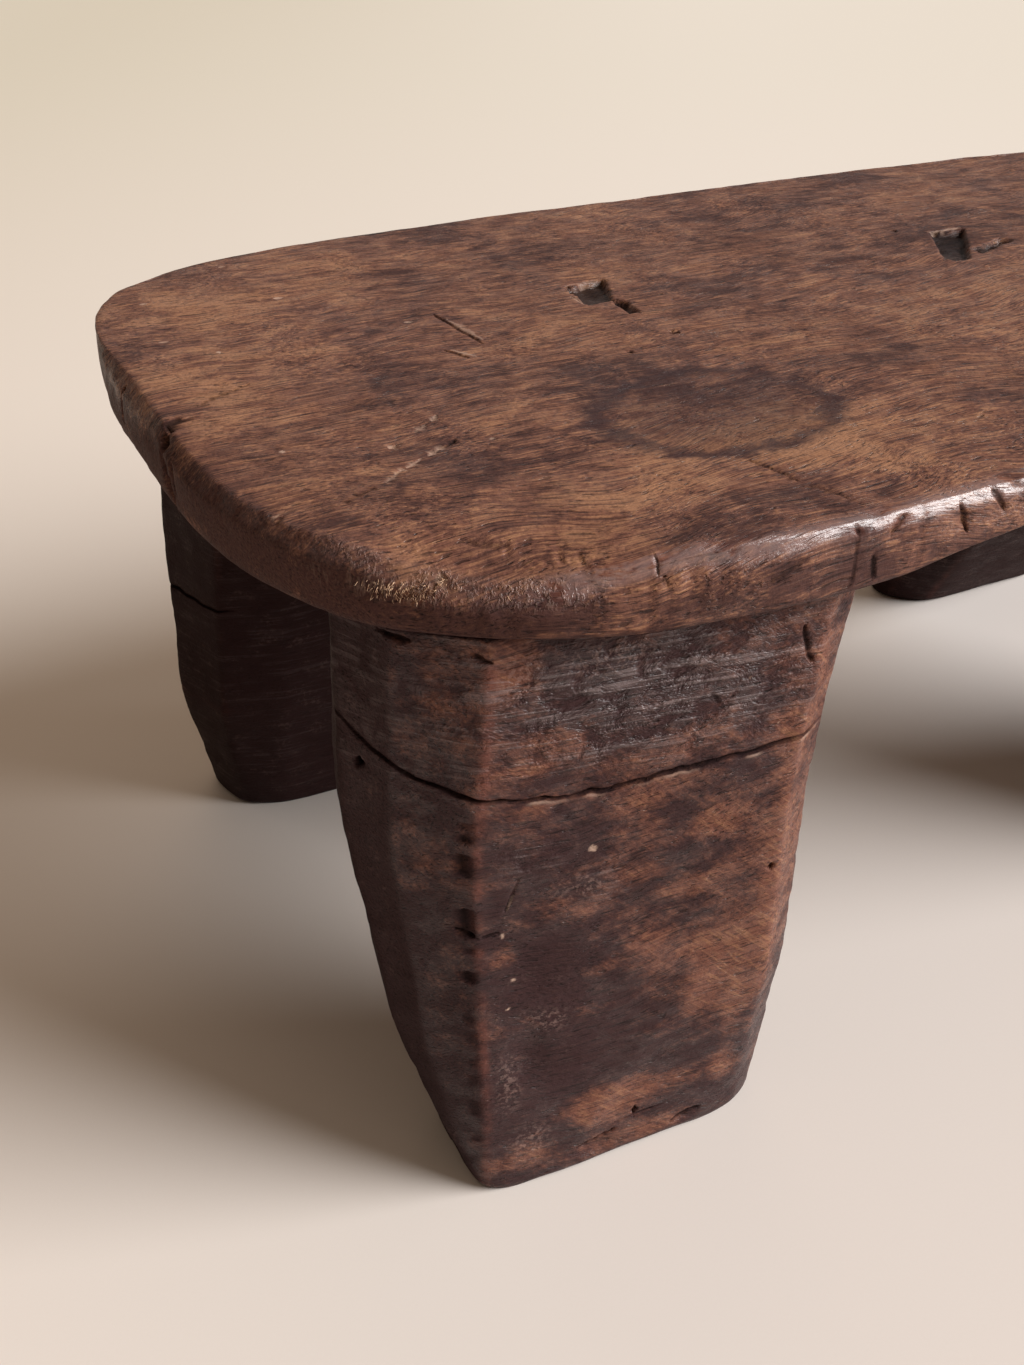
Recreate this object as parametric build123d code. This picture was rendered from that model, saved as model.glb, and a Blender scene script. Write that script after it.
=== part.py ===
from build123d import *

import os
from math import cos, sin, radians
from typing import NamedTuple

# A low carved stool: a thick oblong slab with round corners on four faceted block legs.
# Millimetres. X runs along the seat, Y across it, Z up. The origin is on the floor, under the
# middle of the seat. Front is -Y and left is -X.

# ---------------------------------------------------------------- seat
stool_height = 240.0
seat_length = 600.0
seat_width = 328.0
seat_thickness = 24.0
front_corner_power = 4.4      # squareness of the outline: 2 is an ellipse, more is squarer
back_corner_power = 5.0
worn_edge_width = 5.0         # sitters have worn this much off the top edge, in plan
worn_edge_height = 7.0
lower_edge_width = 2.0        # the rim draws in this much towards the underside
lower_edge_height = 8.0
arch_rise = 11.0              # the underside is hollowed between the legs
arch_shoulder = 2.0           # flat underside between a leg and the hollow

# ---------------------------------------------------------------- legs, at their top
leg_end_inset = 54.0          # from the end of the seat to the arris at the leg's outer corner
leg_face_inset = 6.0          # from the side of the seat to the long outer face
long_face_length = 115.5      # from the arris to the inboard end
arris_setback = 18.0          # the arris lies this much nearer the middle than the long face
leg_depth = 98.0              # across the seat
outer_facet = 15.0            # narrow facet beside the inboard end of the long face
inner_facet = 17.0            # facets on the corners of the inner side

# ---------------------------------------------------------------- legs, further down
knee_height = 146.0
knee_end_taper = 10.5
calf_height = 68.0
calf_end_taper = 9.0
calf_side_taper = 12.0
calf_face_taper = 2.0
foot_end_taper = 10.0
foot_face_taper = 8.0
calf_arris_forward = 2.5      # the arris comes forward below the knee, nearer the long face
foot_arris_forward = 6.0

# ---------------------------------------------------------------- joinery
tenon_length = 58.0           # along the seat
tenon_width = 30.0            # across the seat
tenon_height = 13.0
tenon_from_end = 58.0         # from the inboard end of the leg to the middle of the tenon
tenon_from_face = 47.0        # from the long face of the leg to the middle of the tenon
side_clearance = 0.15         # round the tenon, in its mortise
end_clearance = 0.3           # over the tenon
wedge_height = 10.0
wedge_head = 4.0              # thickness of the thick end, which points up
wedge_tip = 1.2
tip_clearance = 0.3           # under the wedge, in its kerf

# ---------------------------------------------------------------- drying checks
check_opening = 1.2
check_depth = 5.0
check_tilt = -1.5             # degrees off level: it rises towards the inboard end

underside = stool_height - seat_thickness
arris_reach = seat_length / 2 - leg_end_inset
inboard_end = arris_reach - long_face_length
long_face_offset = seat_width / 2 - leg_face_inset
arris_offset = long_face_offset - arris_setback
arch_half_span = inboard_end - arch_shoulder
OUTLINE_STEP = 6              # degrees between the points of the outline


class Leg(NamedTuple):
    """What differs from one hand-cut leg to the next."""

    flip_x: bool
    flip_y: bool
    arris_out: float          # the arris leans out this far below the knee, along the seat
    top_nose: float           # the rounded end of the leg stands out this far past the arris
    knee_nose: float
    calf_nose: float
    foot_nose: float
    foot_side_taper: float
    check_height: float       # at the inboard end of the leg


LEGS = {
    "front_left": Leg(False, False, 6.5, 31.0, 27.0, 20.0, 1.0, 37.0, 166.0),
    "front_right": Leg(True, False, 5.0, 30.0, 27.0, 22.0, 6.0, 34.0, 101.0),
    "back_left": Leg(False, True, 5.0, 27.0, 25.0, 29.0, 14.0, 34.0, 123.0),
    "back_right": Leg(True, True, 5.0, 28.0, 26.0, 25.0, 8.0, 50.0, 157.0),
}


def oblong(inset, level):
    """The seat's outline at one level: a superellipse, squarer at the back, drawn in by the inset."""
    half_length = seat_length / 2 - inset
    half_width = seat_width / 2 - inset
    points = []
    for degrees in range(0, 360, OUTLINE_STEP):
        c = cos(radians(degrees))
        s = sin(radians(degrees))
        power = back_corner_power if s > 0 else front_corner_power
        share = abs(c / half_length) ** power + abs(s / half_width) ** power
        reach = share ** (-1 / power)
        points.append((reach * c, reach * s, level))
    return make_face(Spline(*points, periodic=True))


def seat_slab():
    """The slab, with its worn top edge, its drawn-in lower edge and its arched underside."""
    levels = [
        oblong(lower_edge_width, underside),
        oblong(0, underside + lower_edge_height),
        oblong(0, stool_height - worn_edge_height),
        oblong(worn_edge_width, stool_height),
    ]
    slab = loft(levels, ruled=True)
    spring_left = (-arch_half_span, underside)
    crown = (0, underside + arch_rise)
    spring_right = (arch_half_span, underside)
    profile = ThreePointArc(spring_left, crown, spring_right) + Line(spring_right, spring_left)
    arch = extrude(Plane.XZ * make_face(profile), seat_width, both=True)
    return slab - arch


def leg_section(level, arris_out, arris_forward, nose, end_taper, side_taper, face_taper):
    """The front left leg's outline at one level, from its arris round by the nose."""
    arris_x = -arris_reach - arris_out
    arris_y = -arris_offset - arris_forward
    face_y = -long_face_offset + face_taper
    end_x = -inboard_end - end_taper
    inner_y = -long_face_offset + leg_depth - side_taper
    corners = [
        (arris_x, arris_y),
        (arris_x - nose * 0.7, arris_y + nose * 0.6),
        (arris_x - nose, arris_y + nose * 1.25),
        (arris_x - nose * 0.6, inner_y - inner_facet / 2),
        (arris_x + inner_facet / 2, inner_y),
        (end_x - inner_facet, inner_y),
        (end_x, inner_y - inner_facet),
        (end_x, face_y + outer_facet * 0.6),
        (end_x - outer_facet, face_y),
    ]
    return make_face(Polyline(*[(x, y, level) for x, y in corners], close=True))


def leg_block(leg):
    """The faceted block between the floor and the underside of the seat."""
    out = leg.arris_out
    foot = leg_section(0, out, foot_arris_forward, leg.foot_nose, foot_end_taper, leg.foot_side_taper, foot_face_taper)
    calf = leg_section(calf_height, out, calf_arris_forward, leg.calf_nose, calf_end_taper, calf_side_taper, calf_face_taper)
    knee = leg_section(knee_height, out, 0, leg.knee_nose, knee_end_taper, 0, 0)
    top = leg_section(underside, 0, 0, leg.top_nose, 0, 0, 0)
    return loft([foot, calf, knee, top], ruled=True)


def drying_check(block, leg):
    """The open crack that runs round the nose and the long face, to an even depth."""
    sheet = Box(2 * seat_length, 2 * seat_width, check_opening)
    sheet = Pos(-inboard_end, 0, leg.check_height) * Rot(0, check_tilt, 0) * sheet
    sound_wood = Pos(check_depth, check_depth, 0) * block
    return sheet - sound_wood


def tenon_place(level):
    """The middle of the front left tenon, at one level."""
    x = -inboard_end - tenon_from_end
    y = -long_face_offset + tenon_from_face
    return Pos(x, y, level)


def wedge_shape():
    """The fox wedge: thick end up, thin end down, as long as the tenon. Its top is at level 0."""
    head = wedge_head / 2
    tip = wedge_tip / 2
    outline = Polyline((-head, 0), (-tip, -wedge_height), (tip, -wedge_height), (head, 0), close=True)
    return extrude(Plane.YZ * make_face(outline), tenon_length / 2, both=True)


def kerf_shape():
    """The saw cut that the wedge fills, a little deeper than the wedge."""
    below = Box(tenon_length, wedge_tip, tip_clearance)
    return wedge_shape() + Pos(0, 0, -wedge_height - tip_clearance / 2) * below


def place(shape, leg):
    """Carry a front left piece to the leg's own corner of the stool."""
    if leg.flip_x:
        shape = mirror(shape, Plane.YZ)
    if leg.flip_y:
        shape = mirror(shape, Plane.XZ)
    return shape


mortise_roof = underside + tenon_height + end_clearance
mortise = Box(
    tenon_length + 2 * side_clearance,
    tenon_width + 2 * side_clearance,
    tenon_height + end_clearance,
)
tenon = Box(tenon_length, tenon_width, tenon_height)

seat = seat_slab()
for name, leg in LEGS.items():
    block = leg_block(leg)
    cracked = block - drying_check(block, leg)
    whole = cracked + tenon_place(underside + tenon_height / 2) * tenon
    whole -= tenon_place(mortise_roof) * kerf_shape()
    seat -= place(tenon_place((underside + mortise_roof) / 2) * mortise, leg)
    export_step(place(whole, leg), f"parts/leg_{name}.step")
    export_step(place(tenon_place(mortise_roof) * wedge_shape(), leg), f"parts/wedge_{name}.step")
export_step(seat, "parts/seat.step")
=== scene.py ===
from itertools import product
from math import cos, pi, radians, sin

import bmesh
import bpy
import numpy as np
from bpy.props import FloatProperty, FloatVectorProperty, PointerProperty
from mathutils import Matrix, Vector
from mathutils.bvhtree import BVHTree


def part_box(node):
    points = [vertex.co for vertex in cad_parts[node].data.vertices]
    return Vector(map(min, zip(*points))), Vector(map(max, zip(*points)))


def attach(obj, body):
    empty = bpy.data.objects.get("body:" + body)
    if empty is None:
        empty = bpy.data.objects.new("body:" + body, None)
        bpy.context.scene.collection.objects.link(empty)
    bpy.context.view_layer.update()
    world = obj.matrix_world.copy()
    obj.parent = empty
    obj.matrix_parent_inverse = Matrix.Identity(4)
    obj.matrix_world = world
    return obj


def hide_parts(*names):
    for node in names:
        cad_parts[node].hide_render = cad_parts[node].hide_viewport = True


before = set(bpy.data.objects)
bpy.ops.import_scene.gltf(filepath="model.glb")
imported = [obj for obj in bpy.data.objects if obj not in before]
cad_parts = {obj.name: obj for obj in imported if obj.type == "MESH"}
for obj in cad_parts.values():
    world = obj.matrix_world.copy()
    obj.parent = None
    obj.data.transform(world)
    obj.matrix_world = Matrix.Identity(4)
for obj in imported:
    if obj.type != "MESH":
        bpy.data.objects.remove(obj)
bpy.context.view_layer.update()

bl_info = {
    "name": "Low Carved Stool",
    "version": (1, 0, 0),
    "blender": (4, 5, 0),
    "location": "3D View > Sidebar > Stool",
    "description": "A low four-legged stool of dark, hand-cut wood",
    "category": "Add Mesh",
}

MM = 0.001
FLAT = np.array((1, 1, 0))
LEGS = ("front_left", "front_right", "back_left", "back_right")
SEAT_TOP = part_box("seat")[1].z
SEAT_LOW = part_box("seat")[0].z
HALF_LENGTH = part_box("seat")[1].x
HALF_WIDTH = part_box("seat")[1].y


# ------------------------------------------------------------------ settings

def length(name, description, default, low, high):
    """A setting in metres."""
    return FloatProperty(name=name, description=description, default=default, min=low, max=high,
                         unit="LENGTH")


def tone(name, description, default):
    """A setting that is a colour."""
    return FloatVectorProperty(name=name, description=description, default=default, subtype="COLOR",
                               size=3, min=0, max=1)


class SeatSettings(bpy.types.PropertyGroup):
    corner_wear: length("Corner wear", "How far the front left corner has worn down", 0.0088, 0, 0.012)
    edge_wear: length("Edge wear", "How far the rest of the top edge has worn down", 0.0007, 0, 0.004)
    unevenness: length("Unevenness", "Height of the adze's long hollows on the seat", 0.0007, 0, 0.002)
    chip_depth: length("Chip depth", "Depth of the two chiselled chips in the top", 0.0022, 0, 0.006)


class LegSettings(bpy.types.PropertyGroup):
    arris_rounding: length("Arris rounding", "How far handling has rounded the arrises",
                           0.0005, 0.0003, 0.006)
    foot_rounding: length("Foot rounding", "Radius worn on the edge that stands on the floor",
                          0.0035, 0.001, 0.01)
    hewing: length("Hewing", "Depth of the flat cuts left by the adze", 0.0009, 0, 0.003)
    check_opening: length("Check opening", "Width of the drying check in each leg", 0.0013, 0.0004, 0.003)
    check_depth: length("Check depth", "Depth of the drying check in each leg", 0.005, 0.001, 0.008)


class WoodSettings(bpy.types.PropertyGroup):
    dark: tone("Dark wood", "Smoke-darkened wood", (0.042, 0.019, 0.0195))
    brown: tone("Brown wood", "Most of the seat", (0.178, 0.075, 0.050))
    ochre: tone("Ochre wood", "Where the dark skin is rubbed thin", (0.38, 0.185, 0.097))
    red: tone("Red wood", "Worn arrises of the legs", (0.15, 0.046, 0.031))
    # Near black for pores and dark grain, and painted shade inside the checks, chips and dark marks.
    pores_and_shade: tone("Pits", "Inside checks and chips", (0.008, 0.005, 0.005))


class StageSettings(bpy.types.PropertyGroup):
    floor: tone("Floor", "Colour of the floor and the backdrop", (0.78, 0.718, 0.676))
    key: FloatProperty(
        name="Key light", description="Strength of the soft key light",
        default=5.2, min=0, max=10)
    key_size: FloatProperty(
        name="Key size", description="Angle that the soft light covers",
        default=radians(38), min=0, max=pi, subtype="ANGLE", unit="ROTATION")
    fill: FloatProperty(
        name="Fill", description="Light from overhead", default=0.48, min=0, max=1)
    side: FloatProperty(
        name="Side light", description="Faint light from behind and to the right",
        default=1.1, min=0, max=4)


class FibreSettings(bpy.types.PropertyGroup):
    density: FloatProperty(
        name="Fibre density", description="Torn fibres on a square metre of the most torn wood",
        default=3.0e6, min=1.0e5, max=1.0e7)
    length: length("Fibre length", "Length of one fibre of usual size", 0.0019, 0.0005, 0.01)
    thickness: length("Fibre thickness", "Radius of a fibre at its root", 0.00013, 0.00003, 0.0005)


class StoolSettings(bpy.types.PropertyGroup):
    seat: PointerProperty(type=SeatSettings)
    legs: PointerProperty(type=LegSettings)
    wood: PointerProperty(type=WoodSettings)
    stage: PointerProperty(type=StageSettings)
    fibres: PointerProperty(type=FibreSettings)


# ------------------------------------------------------------------ sums on arrays of points

def noise(points, size, seed):
    """Smooth noise from -1 to 1. size is one length, or one for each axis."""
    spots = points / np.asarray(size)
    cell = np.floor(spots).astype(np.int64)
    part = spots - cell
    part = part * part * part * (part * (part * 6 - 15) + 10)
    total = np.zeros(points.shape[:-1])
    for corner in product((0, 1), repeat=3):
        index = (cell + corner).astype(np.uint64)
        mixed = index[..., 0] * np.uint64(73856093)
        mixed ^= index[..., 1] * np.uint64(19349663)
        mixed ^= index[..., 2] * np.uint64(83492791)
        mixed ^= np.uint64(seed * 2654435761 % 2**32)
        mixed = (mixed ^ (mixed >> np.uint64(15))) * np.uint64(2246822519)
        mixed = (mixed ^ (mixed >> np.uint64(13))) * np.uint64(3266489917)
        value = ((mixed >> np.uint64(16)) % np.uint64(65536)).astype(float) / 32767.5 - 1
        weight = np.prod(np.where(corner, part, 1 - part), axis=-1)
        total += value * weight
    return total


def ripple(points, size, seed, octaves=3):
    """Noise with finer and fainter noise added to it."""
    size = np.asarray(size, dtype=float)
    total = 0
    for octave in range(octaves):
        total = total + noise(points, size / 2**octave, seed + octave) / 2**octave
    return total


def step(low, high, values):
    """0 below low, 1 above high, and an eased rise between them."""
    share = np.clip((values - low) / (high - low), 0, 1)
    return share * share * (3 - 2 * share)


def bell(values, width):
    """1 where the values are 0, falling away on both sides."""
    return np.exp(-(values / width) ** 2)


def bump_at(points, centre, reach):
    """1 at the centre, fading to 0 at the reach (one length for each axis)."""
    gap = np.linalg.norm((points - np.array(centre)) / np.array(reach), axis=-1)
    return 1 - step(0, 1, gap)


def along(points, start, end):
    """Distance from a straight line between two points, and how far along it (0 to 1)."""
    start = np.array(start)
    run = np.array(end) - start
    share = np.clip((points - start) @ run / (run @ run), 0, 1)
    return np.linalg.norm(points - start - share[..., None] * run, axis=-1), share


def inside(points, corners):
    """How far the points lie inside a flat outline, in the plan. Outside is negative."""
    flat = points[..., :2]
    gap = np.full(flat.shape[:-1], np.inf)
    odd = np.zeros(flat.shape[:-1], dtype=bool)
    for a, b in zip(corners, corners[1:] + corners[:1]):
        a, b = np.array(a), np.array(b)
        run = b - a
        share = np.clip((flat - a) @ run / (run @ run), 0, 1)
        gap = np.minimum(gap, np.linalg.norm(flat - a - share[..., None] * run, axis=-1))
        crosses = (a[1] > flat[..., 1]) != (b[1] > flat[..., 1])
        rise = run[1] if run[1] else 1e-12
        odd ^= crosses & (flat[..., 0] < run[0] * (flat[..., 1] - a[1]) / rise + a[0])
    return np.where(odd, gap, -gap)


def normals_of(grid, ring):
    """Outward directions over a grid of points whose columns may close into a ring."""
    down = np.gradient(grid, axis=0)
    if ring:
        across = (np.roll(grid, -1, axis=1) - np.roll(grid, 1, axis=1)) / 2
    else:
        across = np.gradient(grid, axis=1)
    normals = np.cross(across, down)
    return normals / np.maximum(np.linalg.norm(normals, axis=-1, keepdims=True), 1e-12)


def soften(values, width, ring=False):
    """Running bell-shaped mean along the last axis, width in samples."""
    reach = int(3 * width) + 1
    weights = np.exp(-0.5 * (np.arange(-reach, reach + 1) / width) ** 2)
    weights /= weights.sum()
    margins = [(0, 0)] * (values.ndim - 1) + [(reach, reach)]
    if ring:
        padded = np.pad(values, margins, "wrap")
    else:
        padded = np.pad(values, margins, "reflect", reflect_type="odd")
    return np.apply_along_axis(lambda row: np.convolve(row, weights, "valid"), -1, padded)


# ------------------------------------------------------------------ meshes

def tree_of(node):
    """The solid of one node, to cast rays at."""
    loose = bmesh.new()
    loose.from_mesh(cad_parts[node].data)
    bmesh.ops.remove_doubles(loose, verts=loose.verts, dist=1e-6)
    tree = BVHTree.FromBMesh(loose)
    loose.free()
    return tree


def grid_faces(rows, columns, ring, first=0):
    """Quads over a grid of points whose numbers begin at first."""
    across = np.arange(columns if ring else columns - 1)
    row, column = np.meshgrid(np.arange(rows - 1), across, indexing="ij")
    beside = (column + 1) % columns
    a, b = first + row * columns + column, first + row * columns + beside
    c, d = first + (row + 1) * columns + beside, first + (row + 1) * columns + column
    return np.stack([a, b, c, d], axis=-1).reshape(-1, 4)


def fan(ring, tip):
    """Triangles from a ring of point numbers to one point."""
    return [(a, b, tip) for a, b in zip(ring, np.roll(ring, -1))]


def put(name, data):
    """A new object in the scene."""
    piece = bpy.data.objects.new(name, data)
    bpy.context.scene.collection.objects.link(piece)
    return piece


def discard(*pieces):
    """Remove objects and their meshes."""
    for piece in pieces:
        spent = piece.data
        bpy.data.objects.remove(piece)
        bpy.data.meshes.remove(spent)


def settled(piece, name):
    """A new object whose plain mesh is the piece with its modifiers carried out."""
    seen = piece.evaluated_get(bpy.context.evaluated_depsgraph_get())
    mesh = bpy.data.meshes.new_from_object(seen)
    mesh.name = name
    return put(name, mesh)


def make_piece(name, points, faces, masks, material):
    """A new object from points and faces, with one named number per point for each mask."""
    mesh = bpy.data.meshes.new(name)
    mesh.from_pydata(points.tolist(), [], faces)
    for mask, values in masks.items():
        layer = mesh.attributes.new(mask, "FLOAT", "POINT")
        layer.data.foreach_set("value", np.asarray(values, dtype=np.float32))
    shell = bmesh.new()
    shell.from_mesh(mesh)
    bmesh.ops.recalc_face_normals(shell, faces=shell.faces)
    shell.to_mesh(mesh)
    shell.free()
    mesh.shade_smooth()
    mesh.materials.append(material)
    return put(name, mesh)


def refine(points, faces, masks, near, rounds):
    """Divide the faces near some places, each round halving their sides."""
    mesh = bpy.data.meshes.new("rough")
    mesh.from_pydata(points.tolist(), [], faces)
    shell = bmesh.new()
    shell.from_mesh(mesh)
    bpy.data.meshes.remove(mesh)
    layers = {name: shell.verts.layers.float.new(name) for name in masks}
    for name, layer in layers.items():
        for vertex, value in zip(shell.verts, masks[name]):
            vertex[layer] = value
    for _ in range(rounds):
        edges = list(shell.edges)
        middles = np.array([(edge.verts[0].co + edge.verts[1].co)[:] for edge in edges]) / 2
        chosen = [edge for edge, wanted in zip(edges, near(middles)) if wanted]
        bmesh.ops.subdivide_edges(shell, edges=chosen, cuts=1, use_grid_fill=True, use_single_edge=True)
    bmesh.ops.recalc_face_normals(shell, faces=shell.faces)
    shell.normal_update()
    shell.verts.index_update()
    points = np.array([vertex.co[:] for vertex in shell.verts])
    normals = np.array([vertex.normal[:] for vertex in shell.verts])
    faces = [[vertex.index for vertex in face.verts] for face in shell.faces]
    masks = {name: np.array([vertex[layer] for vertex in shell.verts]) for name, layer in layers.items()}
    shell.free()
    return points, normals, faces, masks


ON_TOP = 0.2392          # a mark whose ends are both above this height lies on the top
SQUEEZE = 0.85           # how much of the distance along the surface's facing is left out
CORNER_POWER = 3.4       # squareness of the outline, less 1, for the facing of a side


def on_surface(points, start, end):
    """Points and a mark's ends, squeezed along the way the surface faces, so wear keeps the mark."""
    spot = (start + end) / 2
    if min(start[2], end[2]) > ON_TOP:
        facing = np.array([0, 0, 1.0])
    else:
        share = np.array([spot[0] / HALF_LENGTH, spot[1] / HALF_WIDTH, 0])
        facing = np.sign(share) * np.abs(share) ** CORNER_POWER / (HALF_LENGTH, HALF_WIDTH, 1)
        facing /= np.linalg.norm(facing)
    return [values - SQUEEZE * (values @ facing)[..., None] * facing for values in (points, start, end)]


def close_to(points, start, end, margin):
    """Numbers of the points in a ball round a mark, which are the only ones worth measuring."""
    reach = np.linalg.norm(end - start) / 2 + margin
    return np.nonzero(np.linalg.norm(points - (start + end) / 2, axis=-1) < reach)[0]


def near_marks(lines, margin):
    """A test of which points lie close to any mark."""
    def test(points):
        wanted = np.zeros(len(points), dtype=bool)
        for start, end, half, _, _ in lines:
            start, end = np.array(start) * MM, np.array(end) * MM
            close = close_to(points, start, end, 0.02)
            if len(close):
                spots, a, b = on_surface(points[close], start, end)
                wanted[close] |= along(spots, a, b)[0] < half * MM * 1.5 + margin
        return wanted
    return test


def cut_marks(points, lines):
    """Depth, darkness and paleness of scratches, spots and fine checks at each point."""
    depth = np.zeros(len(points))
    dark = np.zeros(len(points))
    pale = np.zeros(len(points))
    for start, end, half, deep, tone in lines:
        start, end, half = np.array(start) * MM, np.array(end) * MM, half * MM
        close = close_to(points, start, end, 5 * half + 0.01)
        if not len(close):
            continue
        spots, start, end = on_surface(points[close], start, end)
        gap, share = along(spots + 0.0004 * noise(spots, 0.003, 91)[:, None], start, end)
        taper = 1 - 0.6 * np.abs(share * 2 - 1) ** 3
        ratio = gap / (half * taper * (1 + 0.45 * noise(spots, 0.0016, 92)))
        depth[close] = np.maximum(depth[close], deep * MM * bell(ratio, 1))
        shade = dark if tone < 0 else pale
        shade[close] = np.maximum(shade[close], abs(tone) * (1 - step(0.7, 1.3, ratio)))
    return depth, dark, pale


# ------------------------------------------------------------------ seat

CHIPS = (
    [(-0.120, 0.052), (-0.102, 0.054), (-0.112, 0.029), (-0.123, 0.028)],
    [(0.062, 0.051), (0.080, 0.050), (0.049, 0.012), (0.038, 0.015)],
    [(0.058, 0.023), (0.082, 0.030), (0.085, 0.025), (0.060, 0.017)],
    [(-0.112, 0.030), (-0.108, 0.028), (-0.110, 0.012), (-0.114, 0.013)],
)
TOP = 239.5              # height of the marks on the top, in millimetres
# Scratches, knocks, spots and fine checks on the top, in millimetres: x and y of the start, x and y
# of the end, half width and depth, and tone (-1 is darkest, 1 is palest).
TOP_MARKS = (
    # The broken crack near the left end, its faint run-out, and the scratch by the edge.
    (-252, -85, -246, -80, 0.5, 0.3, 0.5), (-247, -80, -236, -74, 0.5, 0.6, 0.75),
    (-234, -73, -226, -68, 0.6, 0.7, 0.75), (-226, -69, -221, -65, 0.7, 0.8, -0.9),
    (-267, -92, -254, -86, 0.45, 0.4, -0.6), (-292, -92, -281, -86, 0.5, 0.4, 0.7),
    (-290, -93, -283, -89.5, 0.6, 0.6, -0.7),
    # Fine checks that run in from the end and the front.
    (-262, 6, -284, -5, 0.45, 0.4, -0.55), (-152, -115, -148, -137, 0.6, 0.5, -0.6),
    (-148, -137, -141, -155, 0.5, 0.5, -0.5),
    # Knots and nibs.
    (-263, 39, -262, 39, 1, 0, 1), (-271, -51, -270, -51, 1.2, 0, 1), (-273, 104, -271, 104, 1.1, 0.1, 0.7),
    (-232, 140, -230, 140, 1.1, 0.1, 0.7), (-225, 91, -222, 91, 1, 0.2, 0.8),
    (-278, 58, -275, 58, 1, 0.1, 0.6), (-192, 42, -189, 42, 0.9, 0.2, 0.7),
    (-241, -62, -239, -61, 1.4, 0.8, 0.8), (-230, -55, -224, -51, 0.6, 0.5, 0.6),
    (-222, -50, -219, -46, 0.8, 0.4, 0.7), (-258, -133, -255, -131, 1.7, 1.2, 0.7),
    (-259, -134.5, -257, -134, 1.2, 1.4, -1), (48, 60, 50, 60, 1.6, 0.8, -0.8),
    (-212, -70, -210, -69, 0.8, 0.3, 0.7),
    # Gouges and knocks.
    (-179, 45, -176, 10, 0.8, 0.7, -0.5), (-177, 38, -174.5, 13, 0.8, 0, 0.5),
    (-191, 9, -187, -2, 0.8, 0.6, -0.45), (-189, 8, -184, -2, 0.9, 0, 0.6),
    (-111, -12, -110, -14, 1.6, 1.6, -1), (-136, -23, -135, -24, 1.4, 1.2, -1),
    (-247, -123, -236, -131, 1.2, 0.6, -0.4), (-120, 53, -103, 55, 0.7, 0.6, 0.3),
    (61, 52, 80, 51.5, 0.9, 0.7, 0.6), (-124, 40, -123.5, 30, 0.8, 0.5, 0.5),
)
# The same with heights, for marks on the rim and over the edge: start, end, half width, depth and tone.
RIM_MARKS = (
    # Fine checks that run in from the end and the front.
    ((-292, -12, TOP), (-296, -20, 239), 0.8, 0.8, -0.8),
    ((-206, -154, 238), (-207, -160, 234), 0.5, 0.6, -0.7),
    # Gouges and knocks.
    ((-245, -143, 236), (-238, -138, 238), 1.2, 1.8, -1),
    ((-243, -144.5, 235), (-237, -140, 238), 0.8, 0.2, 0.9),
    ((-236, -151, 235), (-221, -152, 237), 1.1, 1.8, -1),
    ((-234, -153, 234), (-223, -153.5, 236), 0.7, 0.1, 0.7),
    # Checks and notches in the rim.
    ((-295.5, -19, 239), (-298, -24, 229), 1, 5, -1), ((-298, -24, 229), (-297, -30, 219), 1.1, 4.5, -1),
    ((-296, -31, 236), (-297.5, -34, 224), 0.7, 3, -1),
    ((-286, -118, 236), (-287, -121, 223), 0.9, 2.2, -0.9),
    ((-206, -161, 234), (-205, -164, 229), 0.5, 0.7, -0.6),
    ((-148, -163, 238), (-148, -165, 218), 0.7, 1.2, -0.6),
    ((-142, -165, 227), (-141, -165, 220), 1.1, 1.2, -0.9),
    ((-138, -164, 232), (-132, -164, 237), 0.6, 0.7, -0.6),
    ((-262, -137, 237), (-263, -139, 227), 0.7, 1.2, -0.8),
    ((-112, -164, 236), (-109, -164, 227), 0.8, 1, -0.6),
    ((-177, -164, 226), (-165, -164, 232), 0.9, 0.8, -0.5),
    ((-296, 30, 237), (-297, 28, 224), 0.8, 1.6, -0.8),
    ((-100, -164, 238), (-96, -165, 231), 0.9, 0.9, -0.7),
    ((-60, -164, 237), (-57, -165, 226), 0.8, 0.9, -0.6),
)
SEAT_MARKS = [((x, y, TOP), (x_end, y_end, TOP), *rest) for x, y, x_end, y_end, *rest in TOP_MARKS]
SEAT_MARKS += RIM_MARKS


# Where the hand-cut outline departs from the drawn one: degrees round from +X, and millimetres out.
TRIM = (
    (0, 0), (60, 0.8), (90, -0.5), (118, 0.6), (146, -0.8), (153, -3.2), (160, -3), (168, -1.5), (178, 0),
    (188, 0), (192, -1.2), (194, -2.6), (198, -4.3), (201.5, -4.4), (205, -4.6), (208, -3.6), (210, -0.7),
    (213, 1.6), (216.5, 4.3), (219.5, 4.8), (223, 6.5), (226, 5), (231, 2.6), (237, 1), (250, 0),
    (290, -0.6), (330, 0.8), (360, 0),
)


def spaced(half, zones, plain):
    """Grid lines from -half to half, closer together inside the zones (low, high, spacing)."""
    lines = [-half]
    while lines[-1] < half:
        here = lines[-1]
        gap = plain
        for low, high, spacing in zones:
            away = max(low - here, here - high, 0)
            gap = min(gap, spacing + away * 0.12)
        lines.append(here + gap)
    lines = np.array(lines)
    lines = (lines - lines[0]) / (lines[-1] - lines[0]) * 2 - 1
    if len(lines) % 2:
        return lines
    # An odd number lets the underside take every second line.
    return np.interp(np.linspace(0, 1, len(lines) + 1), np.linspace(0, 1, len(lines)), lines)


def to_edge(u, v):
    """Carry points of a square (-1 to 1 both ways) straight out to its edge."""
    level = np.maximum(np.maximum(np.abs(u), np.abs(v)), 1e-9)
    return u / level, v / level


def oblong_points(u, v, outline, inset):
    """Carry a square grid to the seat's outline, drawn in by inset."""
    level = np.maximum(np.abs(u), np.abs(v))
    x, y = outline.at(*to_edge(u, v), inset)
    return level * x, level * y


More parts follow.
